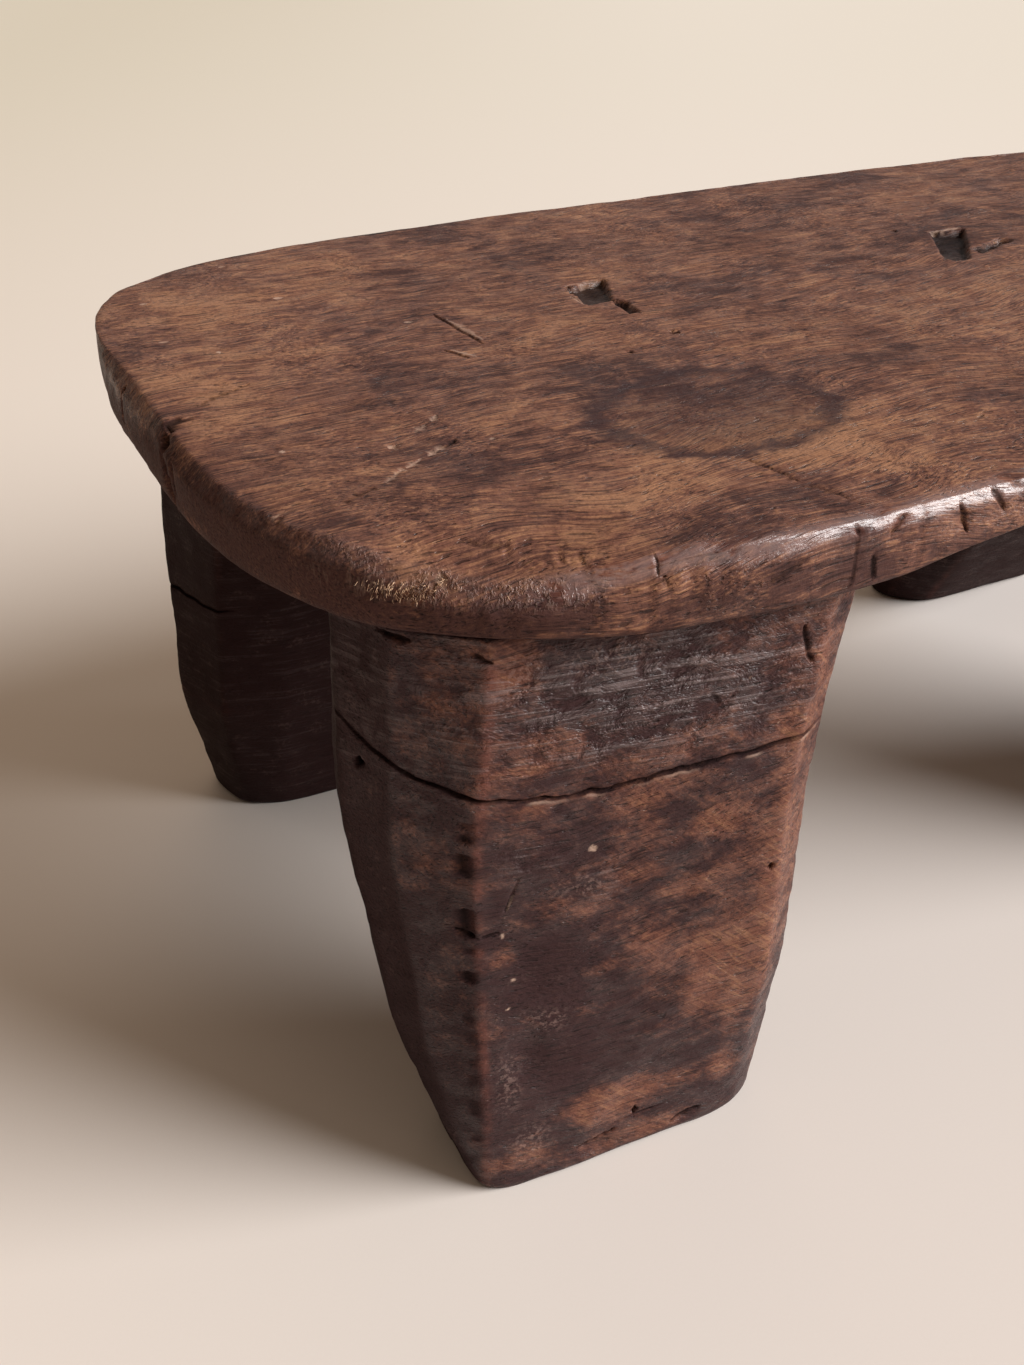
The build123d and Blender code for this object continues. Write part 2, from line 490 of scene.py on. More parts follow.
class Outline:
    """The seat's outline in the plan, read off the solid, with its outward directions."""

    def __init__(self, tree):
        angles = np.radians(np.arange(0, 360, 0.25))
        middle = (SEAT_TOP + SEAT_LOW) / 2
        reach = []
        for angle in angles:
            way = Vector((cos(angle), sin(angle), 0))
            hit = tree.ray_cast(way * 0.5 + Vector((0, 0, middle)), -way)[0]
            reach.append(Vector((hit.x, hit.y)).length)
        turn = np.degrees(angles)
        trim = np.interp(turn, [place for place, _ in TRIM], [amount for _, amount in TRIM])
        reach = soften(np.array(reach) + trim * MM, 6, ring=True)
        points = np.stack([reach * np.cos(angles), reach * np.sin(angles)], axis=-1)
        tangent = np.roll(points, -1, axis=0) - np.roll(points, 1, axis=0)
        normal = np.stack([tangent[:, 1], -tangent[:, 0]], axis=-1)
        self.angles = angles
        self.reach = reach
        self.normal = normal / np.linalg.norm(normal, axis=-1, keepdims=True)

    def read(self, angle, values):
        wrapped = np.append(self.angles, 2 * pi)
        return np.interp(angle % (2 * pi), wrapped, np.append(values, values[0]))

    def at(self, u, v, inset):
        """The point where the ray to a square's edge point meets the outline, drawn in by inset."""
        angle = np.arctan2(v * HALF_WIDTH, u * HALF_LENGTH)
        reach = self.read(angle, self.reach)
        nx = self.read(angle, self.normal[:, 0])
        ny = self.read(angle, self.normal[:, 1])
        return reach * np.cos(angle) - inset * nx, reach * np.sin(angle) - inset * ny


def worn_corner(x, y):
    """1 at the front left corner of the seat, where the edge is worn most."""
    spot = np.stack([x, y, np.zeros_like(x)], axis=-1)
    corner = bump_at(spot, (-0.248, -0.146, 0), (0.072, 0.052, 1))
    left = bump_at(spot, (-0.290, -0.085, 0), (0.04, 0.06, 1)) * 0.20
    front = step(0.135, 0.155, -y) * step(-0.250, -0.190, x) * 0.12
    return np.maximum(np.maximum(corner, left), front)


def edge_drop(wear, gap, settings):
    """How far the top edge has worn down, at a distance from the outline."""
    at_corner = wear * settings.corner_wear * np.exp(-(gap / 0.019) ** 1.4)
    return at_corner + settings.edge_wear * np.exp(-(gap / 0.010) ** 1.5)


TOP_INSET = 0.009        # the top's grid ends this far inside the outline
BEVEL = 0.0084           # the rim's bevel reaches down this far
UNDER_INSET = 0.008      # the underside's grid ends this far inside the outline
# The rim, from the edge of the top's grid down to the underside, in millimetres: inset and fall.
RIM_SECTION = (
    (9, 0), (7, 0), (5.6, 0.05), (4.7, 0.25), (4, 0.7), (3.3, 1.4), (2.6, 2.15), (1.9, 2.9), (1.2, 3.7),
    (0.7, 4.6), (0.35, 6), (0.15, 8.4), (0.1, 11.5), (0.1, 14.4), (0.3, 17), (0.6, 19.4), (1, 21.4),
    (1.8, 22.9), (3.2, 23.7), (6, 24),
)


def seat_rim(u, v, outline, tree, settings):
    """Rows of points down the rim, below the square's edge points (u, v)."""
    thickness = SEAT_TOP - SEAT_LOW
    x_out, y_out = outline.at(u, v, 0)
    wear = worn_corner(x_out, y_out)
    low = underside_height(tree, x_out)
    # The bevel shrinks round the back, where nobody sits, and a little along the front.
    front = step(0.15, 0.158, -y_out) * step(-0.238, -0.222, x_out)
    crisp = np.maximum(0.8 * step(0.02, 0.10, y_out), 0.32 * front)
    rim = []
    for inset, fall in np.array(RIM_SECTION) * MM:
        share = fall / thickness
        kept = 1 - crisp * step(TOP_INSET, 5.6 * MM, inset)
        x, y = outline.at(u, v, inset * np.where(fall < BEVEL, kept, 1))
        fall = fall * (1 - crisp * np.clip(1 - fall / BEVEL, 0, 1))
        # Below the bevel the rows are spread down to the arched underside.
        spread = 0.009 + (fall - 0.009) * (SEAT_TOP - low - 0.009) / (thickness - 0.009)
        depth = np.where(fall < 0.009, fall, spread)
        sink = edge_drop(wear, inset * (share < 0.5), settings) * (1 - step(0.15, 0.8, share))
        rim.append(np.stack([x, y, SEAT_TOP - depth - sink], axis=-1))
    return np.array(rim)


def seat_faces(top_size, under_size, rim_rows):
    """Faces of the top's grid, the rim and the underside's coarser grid, as one closed shell."""
    edge = edge_numbers(*top_size)
    count = len(edge)
    ring = np.arange(count)
    faces = grid_faces(*top_size, False).tolist()
    rim_first = top_size[0] * top_size[1]
    # The rim's first row is the edge of the top's grid.
    for a, b in zip(ring, np.roll(ring, -1)):
        faces.append([edge[a], edge[b], rim_first + b, rim_first + a])
    faces += grid_faces(rim_rows - 1, count, True, rim_first).tolist()
    under_first = rim_first + (rim_rows - 1) * count
    under_edge = under_first + edge_numbers(*under_size)
    last = rim_first + (rim_rows - 2) * count + ring
    for index in range(len(under_edge)):
        f0, f1, f2 = last[2 * index], last[2 * index + 1], last[(2 * index + 2) % count]
        c0, c1 = under_edge[index], under_edge[(index + 1) % len(under_edge)]
        faces += [[f0, f1, c0], [f1, c1, c0], [f1, f2, c1]]
    return faces + grid_faces(*under_size, False, under_first)[:, ::-1].tolist()


def seat_skin(settings):
    """The seat's surface: top, rim and arched underside, as one closed shell."""
    tree = tree_of("seat")
    outline = Outline(tree)
    # The lines are closer together at the chips and at the worn end and front.
    across = spaced(HALF_LENGTH, [(-0.128, -0.098, 0.0011), (0.034, 0.084, 0.0012),
                                  (-0.30, -0.185, 0.0014)], 0.0027)
    along_y = spaced(HALF_WIDTH, [(0.008, 0.056, 0.0011), (-0.165, -0.120, 0.0013)], 0.0026)

    u, v = np.meshgrid(across, along_y)
    x, y = oblong_points(u, v, outline, TOP_INSET)
    x_out, y_out = outline.at(*to_edge(u, v), 0)
    drop = edge_drop(worn_corner(x_out, y_out), np.hypot(x_out - x, y_out - y), settings)
    top = np.stack([x, y, SEAT_TOP - drop], axis=-1)
    edge = edge_numbers(*u.shape)
    rim = seat_rim(u.ravel()[edge], v.ravel()[edge], outline, tree, settings)
    # The underside has half as many lines each way.
    u, v = np.meshgrid(across[::2], along_y[::2])
    x, y = oblong_points(u, v, outline, UNDER_INSET)
    under = np.stack([x, y, underside_height(tree, x)], axis=-1)

    faces = seat_faces(top.shape[:2], under.shape[:2], len(rim))
    points = np.concatenate([part.reshape(-1, 3) for part in (top, rim[1:], under)])
    points, normals, faces, _ = refine(points, faces, {}, near_marks(SEAT_MARKS, 0.0001), 2)
    depth, masks = hew_seat(points, normals, outline, settings)
    points += normals * depth[:, None]
    return np.clip(points, *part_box("seat")), faces, masks


def edge_numbers(rows, columns):
    """Numbers of the points round the edge of a grid, in order."""
    bottom = np.arange(columns - 1)
    right = np.arange(rows - 1) * columns + columns - 1
    top = (rows - 1) * columns + np.arange(columns - 1, 0, -1)
    left = np.arange(rows - 1, 0, -1) * columns
    return np.concatenate([bottom, right, top, left])


def underside_height(tree, x):
    """Height of the seat's arched underside, which changes along the seat only."""
    stations = np.linspace(-HALF_LENGTH * 0.95, HALF_LENGTH * 0.95, 240)
    heights = [tree.ray_cast(Vector((station, 0, 0)), Vector((0, 0, 1)))[0].z for station in stations]
    return np.interp(x, stations, soften(np.array(heights), 2))


def hew_seat(points, normals, outline, settings):
    """How far the tools and the years have moved each point out, and the masks for the wood."""
    x, y, z = points.T
    angle = np.arctan2(y, x)
    reach = outline.read(angle, outline.reach)
    facing = outline.read(angle, outline.normal[:, 0]) * np.cos(angle)
    facing += outline.read(angle, outline.normal[:, 1]) * np.sin(angle)
    inset = (reach - np.hypot(x, y)) * facing
    top = step(0.25, 0.8, normals[:, 2])
    under = step(0.25, 0.8, -normals[:, 2])
    rim = 1 - top - under
    flat = points * FLAT
    corner = worn_corner(reach * np.cos(angle), reach * np.sin(angle))

    # The top: the adze's hollows, a finer waviness, and the chips.
    waves = settings.unevenness * (ripple(flat, (0.09, 0.05, 1), 3, 3) - 0.4)
    waves += 0.00022 * (ripple(flat, (0.022, 0.009, 1), 11, 3) - 0.8)
    chip = np.zeros(len(points))
    for corners in CHIPS:
        depth = inside(flat + 0.0012 * noise(flat, 0.004, 5)[:, None], corners)
        sunk = step(-0.0006, 0.0009, depth)
        waves -= settings.chip_depth * (1 + 0.5 * noise(flat, 0.006, 8)) * sunk
        chip = np.maximum(chip, step(-0.0008, 0.0010, depth) * top)

    # The rim: knife cuts, and chatter marks on its front face.
    cuts = 0.0008 * (ripple(points, (0.05, 0.05, 0.02), 21, 3) - 0.3)
    cuts += 0.0003 * (ripple(points, 0.007, 31, 2) - 0.5)
    front = step(0.150, 0.160, -y)
    chatter = bump_at(points, (-0.198, -0.163, 0.231), (0.026, 0.02, 0.014))
    chatter += bump_at(points, (-0.135, -0.163, 0.229), (0.04, 0.02, 0.016)) * 0.8
    cuts += front * chatter * 0.0006 * (noise(points, (0.0028, 1, 0.03), 41) - 0.6)
    beneath = 0.0005 * (ripple(flat, (0.045, 0.02, 1), 51, 3) - 0.2)
    depth = waves * top + cuts * rim + beneath * under

    # The polished band along the front edge, whose mask also carries a painted highlight in the wood's
    # colour, the steeper bevel by the corner, and the torn corner.
    band = 0.0026 + 0.0012 * step(0.0, 0.25, corner)
    edge = bell(np.maximum(np.abs(inset - band) - 0.0013, 0), 0.0015) * step(0.12, 0.4, normals[:, 2])
    edge *= step(0.02, 0.10, -y) * (0.25 + 0.75 * step(-0.242, -0.228, x))
    steeper = step(-0.0064, -0.0010, -inset) * bump_at(flat, (-0.200, -0.157, 0), (0.040, 0.03, 1)) ** 0.5
    depth -= 0.0024 * steeper * step(0.1, 0.4, normals[:, 2])
    torn = bell(np.maximum(inset - 0.001, 0), 0.0045)
    torn *= bump_at(flat, (-0.258, -0.139, 0), (0.044, 0.050, 1)) ** 0.6
    torn *= step(SEAT_TOP - 0.0155, SEAT_TOP - 0.0105, z)
    torn *= np.clip(0.7 + 0.7 * noise(points, (0.008, 0.006, 0.006), 59), 0, 1)
    depth -= torn * 0.0006 * np.abs(ripple(points, (0.0022, 0.0022, 0.005), 55, 2))
    nick = step(0.45, 0.8, noise(points, (0.007, 0.007, 0.005), 57))
    depth -= edge * nick * 0.0009
    cut, dark, pale = cut_marks(points, SEAT_MARKS)
    depth -= cut
    return depth, {"worn_edge_and_highlight": edge, "torn": torn, "chip": chip, "dark": dark, "pale": pale,
                   "underside": under, "rub": rubbed_thin(points, SEAT_RUBS, 101)}


SIDE_PLAY = 0.00015      # round a tenon, in its mortise
END_PLAY = 0.0003        # over a tenon, and under its wedge


def mortise_cutter():
    """The four mortises, as boxes that reach a little below the underside."""
    points, faces = [], []
    gap = SIDE_PLAY
    for leg in LEGS:
        low, high = tenon_box(leg)
        first = len(points)
        for z in (SEAT_LOW - 0.004, high.z + END_PLAY):
            for x, y in ((low.x - gap, low.y - gap), (high.x + gap, low.y - gap),
                         (high.x + gap, high.y + gap), (low.x - gap, high.y + gap)):
                points.append((x, y, z))
        faces += [[first + n for n in face] for face in
                  ((3, 2, 1, 0), (4, 5, 6, 7), (0, 1, 5, 4), (1, 2, 6, 5), (2, 3, 7, 6), (3, 0, 4, 7))]
    mesh = bpy.data.meshes.new("mortises")
    mesh.from_pydata(points, [], faces)
    return put("mortises", mesh)


def tenon_box(leg):
    """Lowest and highest corners of the tenon on one leg."""
    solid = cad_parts["leg_" + leg].data
    tips = [vertex.co for vertex in solid.vertices if vertex.co.z > SEAT_LOW + 0.001]
    low = Vector([min(tip[axis] for tip in tips) for axis in range(3)])
    high = Vector([max(tip[axis] for tip in tips) for axis in range(3)])
    low.z = SEAT_LOW
    return low, high


# Where the dark skin is rubbed thin (above 0) or thick (below 0): centre, reach and strength.
SEAT_RUBS = (
    ((-0.12, -0.118, 0.24), (0.07, 0.035, 0.1), 0.55), ((-0.195, -0.128, 0.24), (0.05, 0.02, 0.1), 0.45),
    ((-0.235, 0.06, 0.24), (0.05, 0.07, 0.1), 0.4), ((-0.18, 0, 0.24), (0.035, 0.03, 0.1), 0.25),
    ((-0.06, -0.04, 0.24), (0.035, 0.025, 0.1), 0.35), ((-0.05, -0.12, 0.24), (0.06, 0.03, 0.1), 0.3),
    ((-0.205, -0.085, 0.24), (0.04, 0.03, 0.1), -0.45), ((-0.245, -0.105, 0.24), (0.03, 0.018, 0.1), -0.25),
    ((-0.1, 0.1, 0.24), (0.05, 0.02, 0.1), -0.35), ((-0.03, 0.08, 0.24), (0.04, 0.025, 0.1), -0.3),
    ((-0.171, 0.102, 0.24), (0.02, 0.01, 0.1), -0.5), ((-0.11, 0.035, 0.24), (0.03, 0.02, 0.1), -0.35),
    ((-0.25, -0.145, 0.233), (0.06, 0.022, 0.012), 0.65), ((0.06, -0.08, 0.24), (0.08, 0.04, 0.1), 0.25),
    ((0.18, 0.04, 0.24), (0.07, 0.06, 0.1), 0.3), ((0.06, 0.032, 0.24), (0.04, 0.03, 0.1), -0.35),
    ((-0.302, -0.03, 0.224), (0.03, 0.15, 0.016), -1), ((-0.268, -0.136, 0.221), (0.05, 0.05, 0.011), -0.7),
    ((-0.254, -0.12, 0.24), (0.034, 0.013, 0.1), 0.45), ((-0.15, -0.166, 0.222), (0.12, 0.02, 0.01), -0.35),
    ((-0.24, -0.15, 0.226), (0.055, 0.03, 0.009), -0.75),
    ((-0.284, -0.116, 0.227), (0.025, 0.045, 0.011), -0.9),
    ((-0.295, -0.05, 0.234), (0.013, 0.09, 0.016), -0.65),
    ((-0.279, -0.126, 0.235), (0.02, 0.032, 0.011), -0.6),
    ((0.1, -0.166, 0.222), (0.2, 0.02, 0.012), -0.25),
)
LEG_RUBS = (
    ((-0.223, -0.146, 0.14), (0.026, 0.04, 0.02), -0.55),
    ((-0.232, -0.144, 0.093), (0.018, 0.04, 0.028), -0.45),
    ((-0.222, -0.146, 0.055), (0.018, 0.04, 0.022), -0.45),
    ((-0.188, -0.151, 0.131), (0.014, 0.04, 0.014), -0.25),
    ((-0.179, -0.152, 0.143), (0.01, 0.04, 0.011), 0.75),
    ((-0.186, -0.151, 0.118), (0.013, 0.04, 0.007), 0.55),
    ((-0.198, -0.149, 0.1), (0.01, 0.04, 0.007), 0.45),
    ((-0.17, -0.153, 0.085), (0.015, 0.04, 0.016), 0.65),
    ((-0.176, -0.152, 0.068), (0.012, 0.04, 0.014), 0.5),
    ((-0.163, -0.154, 0.061), (0.007, 0.04, 0.02), 0.75),
    ((-0.205, -0.148, 0.03), (0.03, 0.04, 0.012), 0.9),
    ((-0.238, -0.143, 0.015), (0.018, 0.04, 0.008), 0.6), ((-0.2, -0.149, 0.008), (0.04, 0.04, 0.008), 0.7),
    ((-0.164, -0.154, 0.032), (0.008, 0.04, 0.018), 0.6),
    ((-0.244, -0.142, 0.105), (0.007, 0.02, 0.008), 0.65), ((-0.18, -0.15, 0.09), (0.045, 0.04, 0.07), 0.3),
    ((-0.2, -0.148, 0.195), (0.075, 0.04, 0.03), -0.4), ((-0.239, -0.143, 0.202), (0.009, 0.03, 0.01), 0.4),
    ((-0.147, -0.156, 0.196), (0.006, 0.04, 0.02), 0.45),
    ((-0.232, -0.144, 0.178), (0.014, 0.03, 0.01), 0.35),
    ((-0.155, -0.156, 0.172), (0.012, 0.04, 0.01), 0.6),
    ((-0.156, -0.155, 0.105), (0.007, 0.04, 0.06), 0.55),
    ((-0.18, -0.152, 0.175), (0.022, 0.04, 0.01), 0.15),
)
# Dull, dusty patches of the same face: centre and reach.
DUSTY = (
    ((-0.229, -0.145, 0.074), (0.01, 0.03, 0.008)), ((-0.244, -0.142, 0.05), (0.007, 0.03, 0.018)),
    ((-0.238, -0.143, 0.202), (0.01, 0.03, 0.014)), ((-0.214, -0.147, 0.204), (0.024, 0.03, 0.008)),
    ((-0.236, -0.143, 0.022), (0.012, 0.03, 0.012)), ((-0.219, -0.146, 0.127), (0.014, 0.03, 0.008)),
)


def rubbed_thin(points, places, seed):
    """A guide for the patina: 0.5 is usual, more is rubbed thinner, less is darker."""
    guide = 0.5 + 0.16 * ripple(points, (0.07, 0.05, 0.05), seed, 2)
    for centre, reach, strength in places:
        guide += 0.5 * strength * bump_at(points, centre, reach) ** 0.7
    return guide


# ------------------------------------------------------------------ legs

# The drying check of the front left leg, along its two outer faces.
FRONT_LEFT_CHECK = (
    (-0.14, -0.15, 0.166), (-0.1536, -0.1576, 0.1666), (-0.166, -0.155, 0.1655), (-0.184, -0.151, 0.164),
    (-0.202, -0.148, 0.1618), (-0.214, -0.146, 0.1606), (-0.226, -0.143, 0.1605), (-0.238, -0.141, 0.1624),
    (-0.25, -0.1395, 0.1645), (-0.2563, -0.135, 0.1665), (-0.262, -0.13, 0.1681),
    (-0.2668, -0.1257, 0.1705), (-0.2711, -0.1203, 0.1734), (-0.2744, -0.1126, 0.1765),
    (-0.2778, -0.1048, 0.1808), (-0.281, -0.095, 0.1845),
)


# Marks of the front left leg, as RIM_MARKS are given.
LEG_MARKS = (
    ((-249.6, -137, 114), (-258.5, -129, 118.5), 0.7, 1.6, -1),
    ((-249.6, -137, 114), (-244, -139, 114.8), 0.5, 0.8, -0.8),
    ((-277, -113, 169.5), (-277, -113, 167.5), 1.5, 4, -1),
    ((-158, -156, 119.5), (-158, -156, 118), 1.2, 3.5, -1),
    ((-239, -142, 133.5), (-244, -139, 117), 0.5, 0.5, -0.6),
    ((-220, -146, 8.6), (-204, -147, 13.6), 0.9, 1.6, -0.9),
    ((-182, -149, 6), (-171, -150, 9), 1.1, 1.8, -0.9),
    ((-198, -148, 19.6), (-197, -148, 19.6), 1.5, 3, -1),
    ((-184.5, -157, 189), (-180.5, -157, 183), 0.8, 0.8, -0.6),
    ((-179.5, -157, 182.5), (-174, -157, 189), 0.6, 0.5, -0.3),
    ((-156, -158, 204), (-152, -156, 192), 0.8, 1.2, -0.8),
    ((-270, -118, 214), (-262, -124, 212), 0.9, 1.4, -0.9),
    ((-251.5, -137, 211), (-246, -140, 208), 0.9, 1, -0.8),
    ((-205, -149, 17), (-186, -149, 18), 0.5, 0.6, -0.5),
    ((-217, -147, 141.4), (-216.4, -147, 139.4), 1.4, 0, 1),
    ((-240.6, -141, 95.4), (-240, -141, 93.5), 0.8, 0, 1),
    ((-242.4, -141, 83.4), (-242, -141, 82.6), 0.8, 0, 0.9),
    ((-250.5, -135, 51.4), (-250.2, -135, 50), 0.8, 0, 0.9),
    ((-243.6, -141, 114), (-244.4, -141, 111), 0.55, 0, 0.9),
    ((-172, -157, 191.5), (-171.8, -157, 190), 0.6, 0, 0.8),
    ((-239.4, -142, 132), (-243.4, -140, 118), 0.35, 0, 0.5),
    ((-161, -157, 173.6), (-160.6, -157, 173), 0.6, 0, 0.8),
    ((-212, -156, 212), (-190, -157, 211), 0.5, 0.6, -0.5),
    ((-198, -156, 208), (-172, -157, 210), 0.45, 0.5, -0.45),
)


FOOT_TURN = np.linspace(0, pi / 2, 7)
# Rows of the grid at the drying check, in millimetres from its middle: below it, repeated above it,
# and inside it.
LIP_ROWS = (-5, -4, -3.2, -2.5, -1.9, -1.4, -1.0, -0.7, -0.5)
CHECK_ROWS = (-0.42, -0.15, 0.15, 0.42)
# The blade's scraped places on the front left leg: centre and reach.
SCRAPED_TOP = ((-0.205, -0.15, 0.192), (0.070, 0.05, 0.034))
SCRAPED_SPOTS = (
    ((-0.236, -0.14, 0.142), (0.018, 0.03, 0.016)), ((-0.212, -0.14, 0.128), (0.018, 0.03, 0.016)),
)


class LegSkin:
    """One leg's outer surface, as distances from a leaning axis, read off the solid."""

    def __init__(self, leg, settings):
        self.leg = leg
        self.near = leg == "front_left"
        self.settings = settings
        self.tree = tree_of("leg_" + leg)
        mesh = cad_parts["leg_" + leg].data
        spots = np.array([vertex.co[:] for vertex in mesh.vertices])
        self.foot = spots[spots[:, 2] < 1e-5].mean(axis=0)
        self.top = spots[abs(spots[:, 2] - SEAT_LOW) < 1e-5].mean(axis=0)
        self.angles = np.linspace(0, 2 * pi, 720, endpoint=False)
        between = np.arange(0.004, SEAT_LOW - 0.002, 0.004)
        self.levels = np.concatenate([[0.0004], between, [SEAT_LOW - 0.0004]])
        raw = self.cast(self.levels, self.angles)
        # A narrow check is stepped over: each level takes the middle of itself and its neighbours.
        padded = np.pad(raw, ((2, 2), (0, 0)), "edge")
        raw = np.median([padded[n:n + len(raw)] for n in range(5)], axis=0)
        self.raw = raw
        even = soften(raw.T, 1.6).T
        spacing = 2 * pi * raw.mean() / len(self.angles)
        width = settings.arris_rounding / spacing
        self.sharp = soften(even, width, ring=True)
        self.blunt = soften(even, width * 2.6, ring=True)
        self.worn_foot = soften(even, 0.0055 / spacing, ring=True)

    def axis(self, z):
        """The point at height z on the line through the middles of the foot and the top."""
        share = np.asarray(z)[..., None] / SEAT_LOW
        return self.foot * (1 - share) + self.top * share

    def cast(self, levels, angles):
        """Distances from the axis to the solid's surface, at each level and angle."""
        reach = np.zeros((len(levels), len(angles)))
        for row, level in enumerate(levels):
            start = Vector(self.axis(level))
            start.z = level
            for column, angle in enumerate(angles):
                way = Vector((cos(angle), sin(angle), 0))
                hit = self.tree.ray_cast(start + way * 0.3, -way)[0]
                reach[row, column] = (hit - start).length if hit else 0.0
        return reach

    def read(self, table, z, angle):
        """Look a table up at any height and angle."""
        row = np.interp(z, self.levels, np.arange(len(self.levels)))
        column = (angle % (2 * pi)) / (2 * pi) * len(self.angles)
        r0 = np.minimum(row.astype(int), len(self.levels) - 2)
        c0 = column.astype(int) % len(self.angles)
        c1 = (c0 + 1) % len(self.angles)
        fr, fc = row - r0, column - np.floor(column)
        upper = table[r0 + 1, c0] * (1 - fc) + table[r0 + 1, c1] * fc
        lower = table[r0, c0] * (1 - fc) + table[r0, c1] * fc
        return lower * (1 - fr) + upper * fr

    def columns(self, fine, coarse):
        """Angles of the grid's columns: close together on the outer faces."""
        row = self.raw[len(self.levels) // 2]
        points = np.stack([row * np.cos(self.angles), row * np.sin(self.angles)], axis=-1)
        points += self.axis(0.1)[:2]
        run = np.linalg.norm(np.roll(points, -1, axis=0) - points, axis=-1)
        outward = np.array([-1 if "left" in self.leg else 1, -1 if "front" in self.leg else 1])
        tangent = np.roll(points, -3, axis=0) - np.roll(points, 3, axis=0)
        normal = np.stack([tangent[:, 1], -tangent[:, 0]], axis=-1)
        normal /= np.linalg.norm(normal, axis=-1, keepdims=True)
        outer = step(0.1, 0.5, (normal * outward).max(axis=-1) - 0.15)
        gap = coarse + (fine - coarse) * soften(outer, 8, ring=True)
        count = np.append(0, np.cumsum(run / gap))
        total = int(round(count[-1]))
        even = np.linspace(0, count[-1], total, endpoint=False)
        return np.interp(even, count, np.append(self.angles, 2 * pi))

    def check_line(self, angle):
        """Height of the drying check at each angle, and how wide open it is (0 to 1)."""
        if self.near:
            spots = np.array(FRONT_LEFT_CHECK)
            centre = self.axis(spots[:, 2])
            turn = np.arctan2(spots[:, 1] - centre[:, 1], spots[:, 0] - centre[:, 0]) % (2 * pi)
            order = np.argsort(turn)
            height = np.interp(angle, turn[order], spots[order, 2])
            opening = step(turn.min() - 0.02, turn.min() + 0.25, angle)
            opening *= 1 - step(turn.max() - 0.12, turn.max() + 0.02, angle)
            return height, opening
        scan = np.arange(0.08, 0.19, 0.0004)
        coarse = self.angles[::12]
        reach = self.cast(scan, coarse)
        found = []
        for column in range(len(coarse)):
            local = soften(reach[:, column][None], 12)[0]
            open_rows = np.nonzero(local - reach[:, column] > 0.0017)[0]
            found.append(scan[open_rows].mean() if len(open_rows) else np.nan)
        found = np.array(found)
        known = ~np.isnan(found)
        height = np.interp(angle, coarse[known], found[known], period=2 * pi)
        opening = np.interp(angle, coarse, soften(known.astype(float), 1.5, ring=True), period=2 * pi)
        spots = np.stack([np.cos(angle), np.sin(angle), np.zeros_like(angle)], axis=-1) * 0.07
        height = height + 0.0016 * ripple(spots, 0.03, len(self.leg), 3)
        return height, step(0.25, 0.75, opening)

    def heights(self, middle, rise):
        """Heights of the grid's rows: close together at the foot and at the check."""
        foot = self.settings.foot_rounding * (1 - np.cos(FOOT_TURN))
        lips = np.array(LIP_ROWS) * MM
        check = np.concatenate([lips, np.array(CHECK_ROWS) * MM, -lips[::-1]])
        below = np.linspace(foot[-1], middle - 0.005, int((middle - 0.01) / rise))[1:-1]
        above = np.linspace(middle + 0.005, SEAT_LOW - 0.0015, int((SEAT_LOW - middle) / rise))[1:]
        return np.concatenate([foot, below, middle + check, above, [SEAT_LOW - 0.0007, SEAT_LOW - 0.0002]])

    def handled(self, height, turn, way):
        """The points once use has rounded the arrises and the foot, the sharper points, and the wear."""
        sharp, blunt = self.read(self.sharp, height, turn), self.read(self.blunt, height, turn)
        worn = self.read(self.raw, height, turn) - blunt
        centre = self.axis(height) * FLAT
        spots = centre + way * sharp[..., None]
        spots[..., 2] = height
        bluntness = 0.14 + 0.25 * noise(spots, 0.018, 60 + LEGS.index(self.leg))
        reach = sharp * (1 - bluntness) + blunt * bluntness
        near_floor = 0.9 * (1 - step(0.0, 0.045, height))
        reach = reach * (1 - near_floor) + self.read(self.worn_foot, height, turn) * near_floor
        inset = np.zeros(len(height))
        inset[:len(FOOT_TURN)] = self.settings.foot_rounding * (1 - np.sin(FOOT_TURN))
        inset[-2:] = (0.0004, 0.0012)
        points = centre + way * (reach - inset[:, None])[..., None]
        points[..., 2] = height
        return points, spots, step(0.0003, 0.0024, worn)

    def hewn(self, points, way, wear):
        """The points with the adze cuts and knocks, which fade out at the sole."""
        out = normals_of(points, True)
        out *= np.sign((out * way).sum(axis=-1, keepdims=True).mean())
        fade = np.ones(len(points))
        fade[:3] = (0, 0.3, 0.7)
        return points + out * (self.cuts(points, wear) * fade[:, None])[..., None]

    def gape(self, spots, opening):
        """How far the check stands open at each column, 1 being the setting."""
        gape = opening * (0.62 + 0.5 * ripple(spots, 0.009, 71, 3))
        if self.near:
            wide = bump_at(spots, (-0.215, -0.146, 0.161), (0.024, 0.03, 0.02)) ** 0.6
            gape = gape + opening * wide * np.clip(0.5 + 3.0 * noise(spots, 0.0045, 73), 0, 2.6)
        return np.clip(gape, 0, 3.2)

    def open_check(self, points, spots, way, offset, away, gape):
        """Part the rows at the check's lips and press in the rows between them. away is each
        row's distance from the middle of the check."""
        width = self.settings.check_opening
        deep = (np.abs(away) < 0.3 * MM)[:, None]
        side = np.sign(offset)
        parted = side * width / 2 * gape * np.exp(-(np.abs(offset) / 0.003))
        inner = np.where(deep, side * width * 0.35 * gape, parted)
        points[..., 2] += np.where(np.abs(away)[:, None] < 0.006, inner, 0)
        sunk = self.settings.check_depth * deep * np.clip(gape * 2.5, 0, 1)
        chipped = 0.6 + 1.2 * np.clip(noise(spots, 0.0035, 74), 0, 1)
        lip = bell(np.abs(offset), 0.0016) * ~deep
        sunk = sunk + 0.00045 * lip * chipped * np.clip(gape, 0, 1)
        return points - way * sunk[..., None], deep

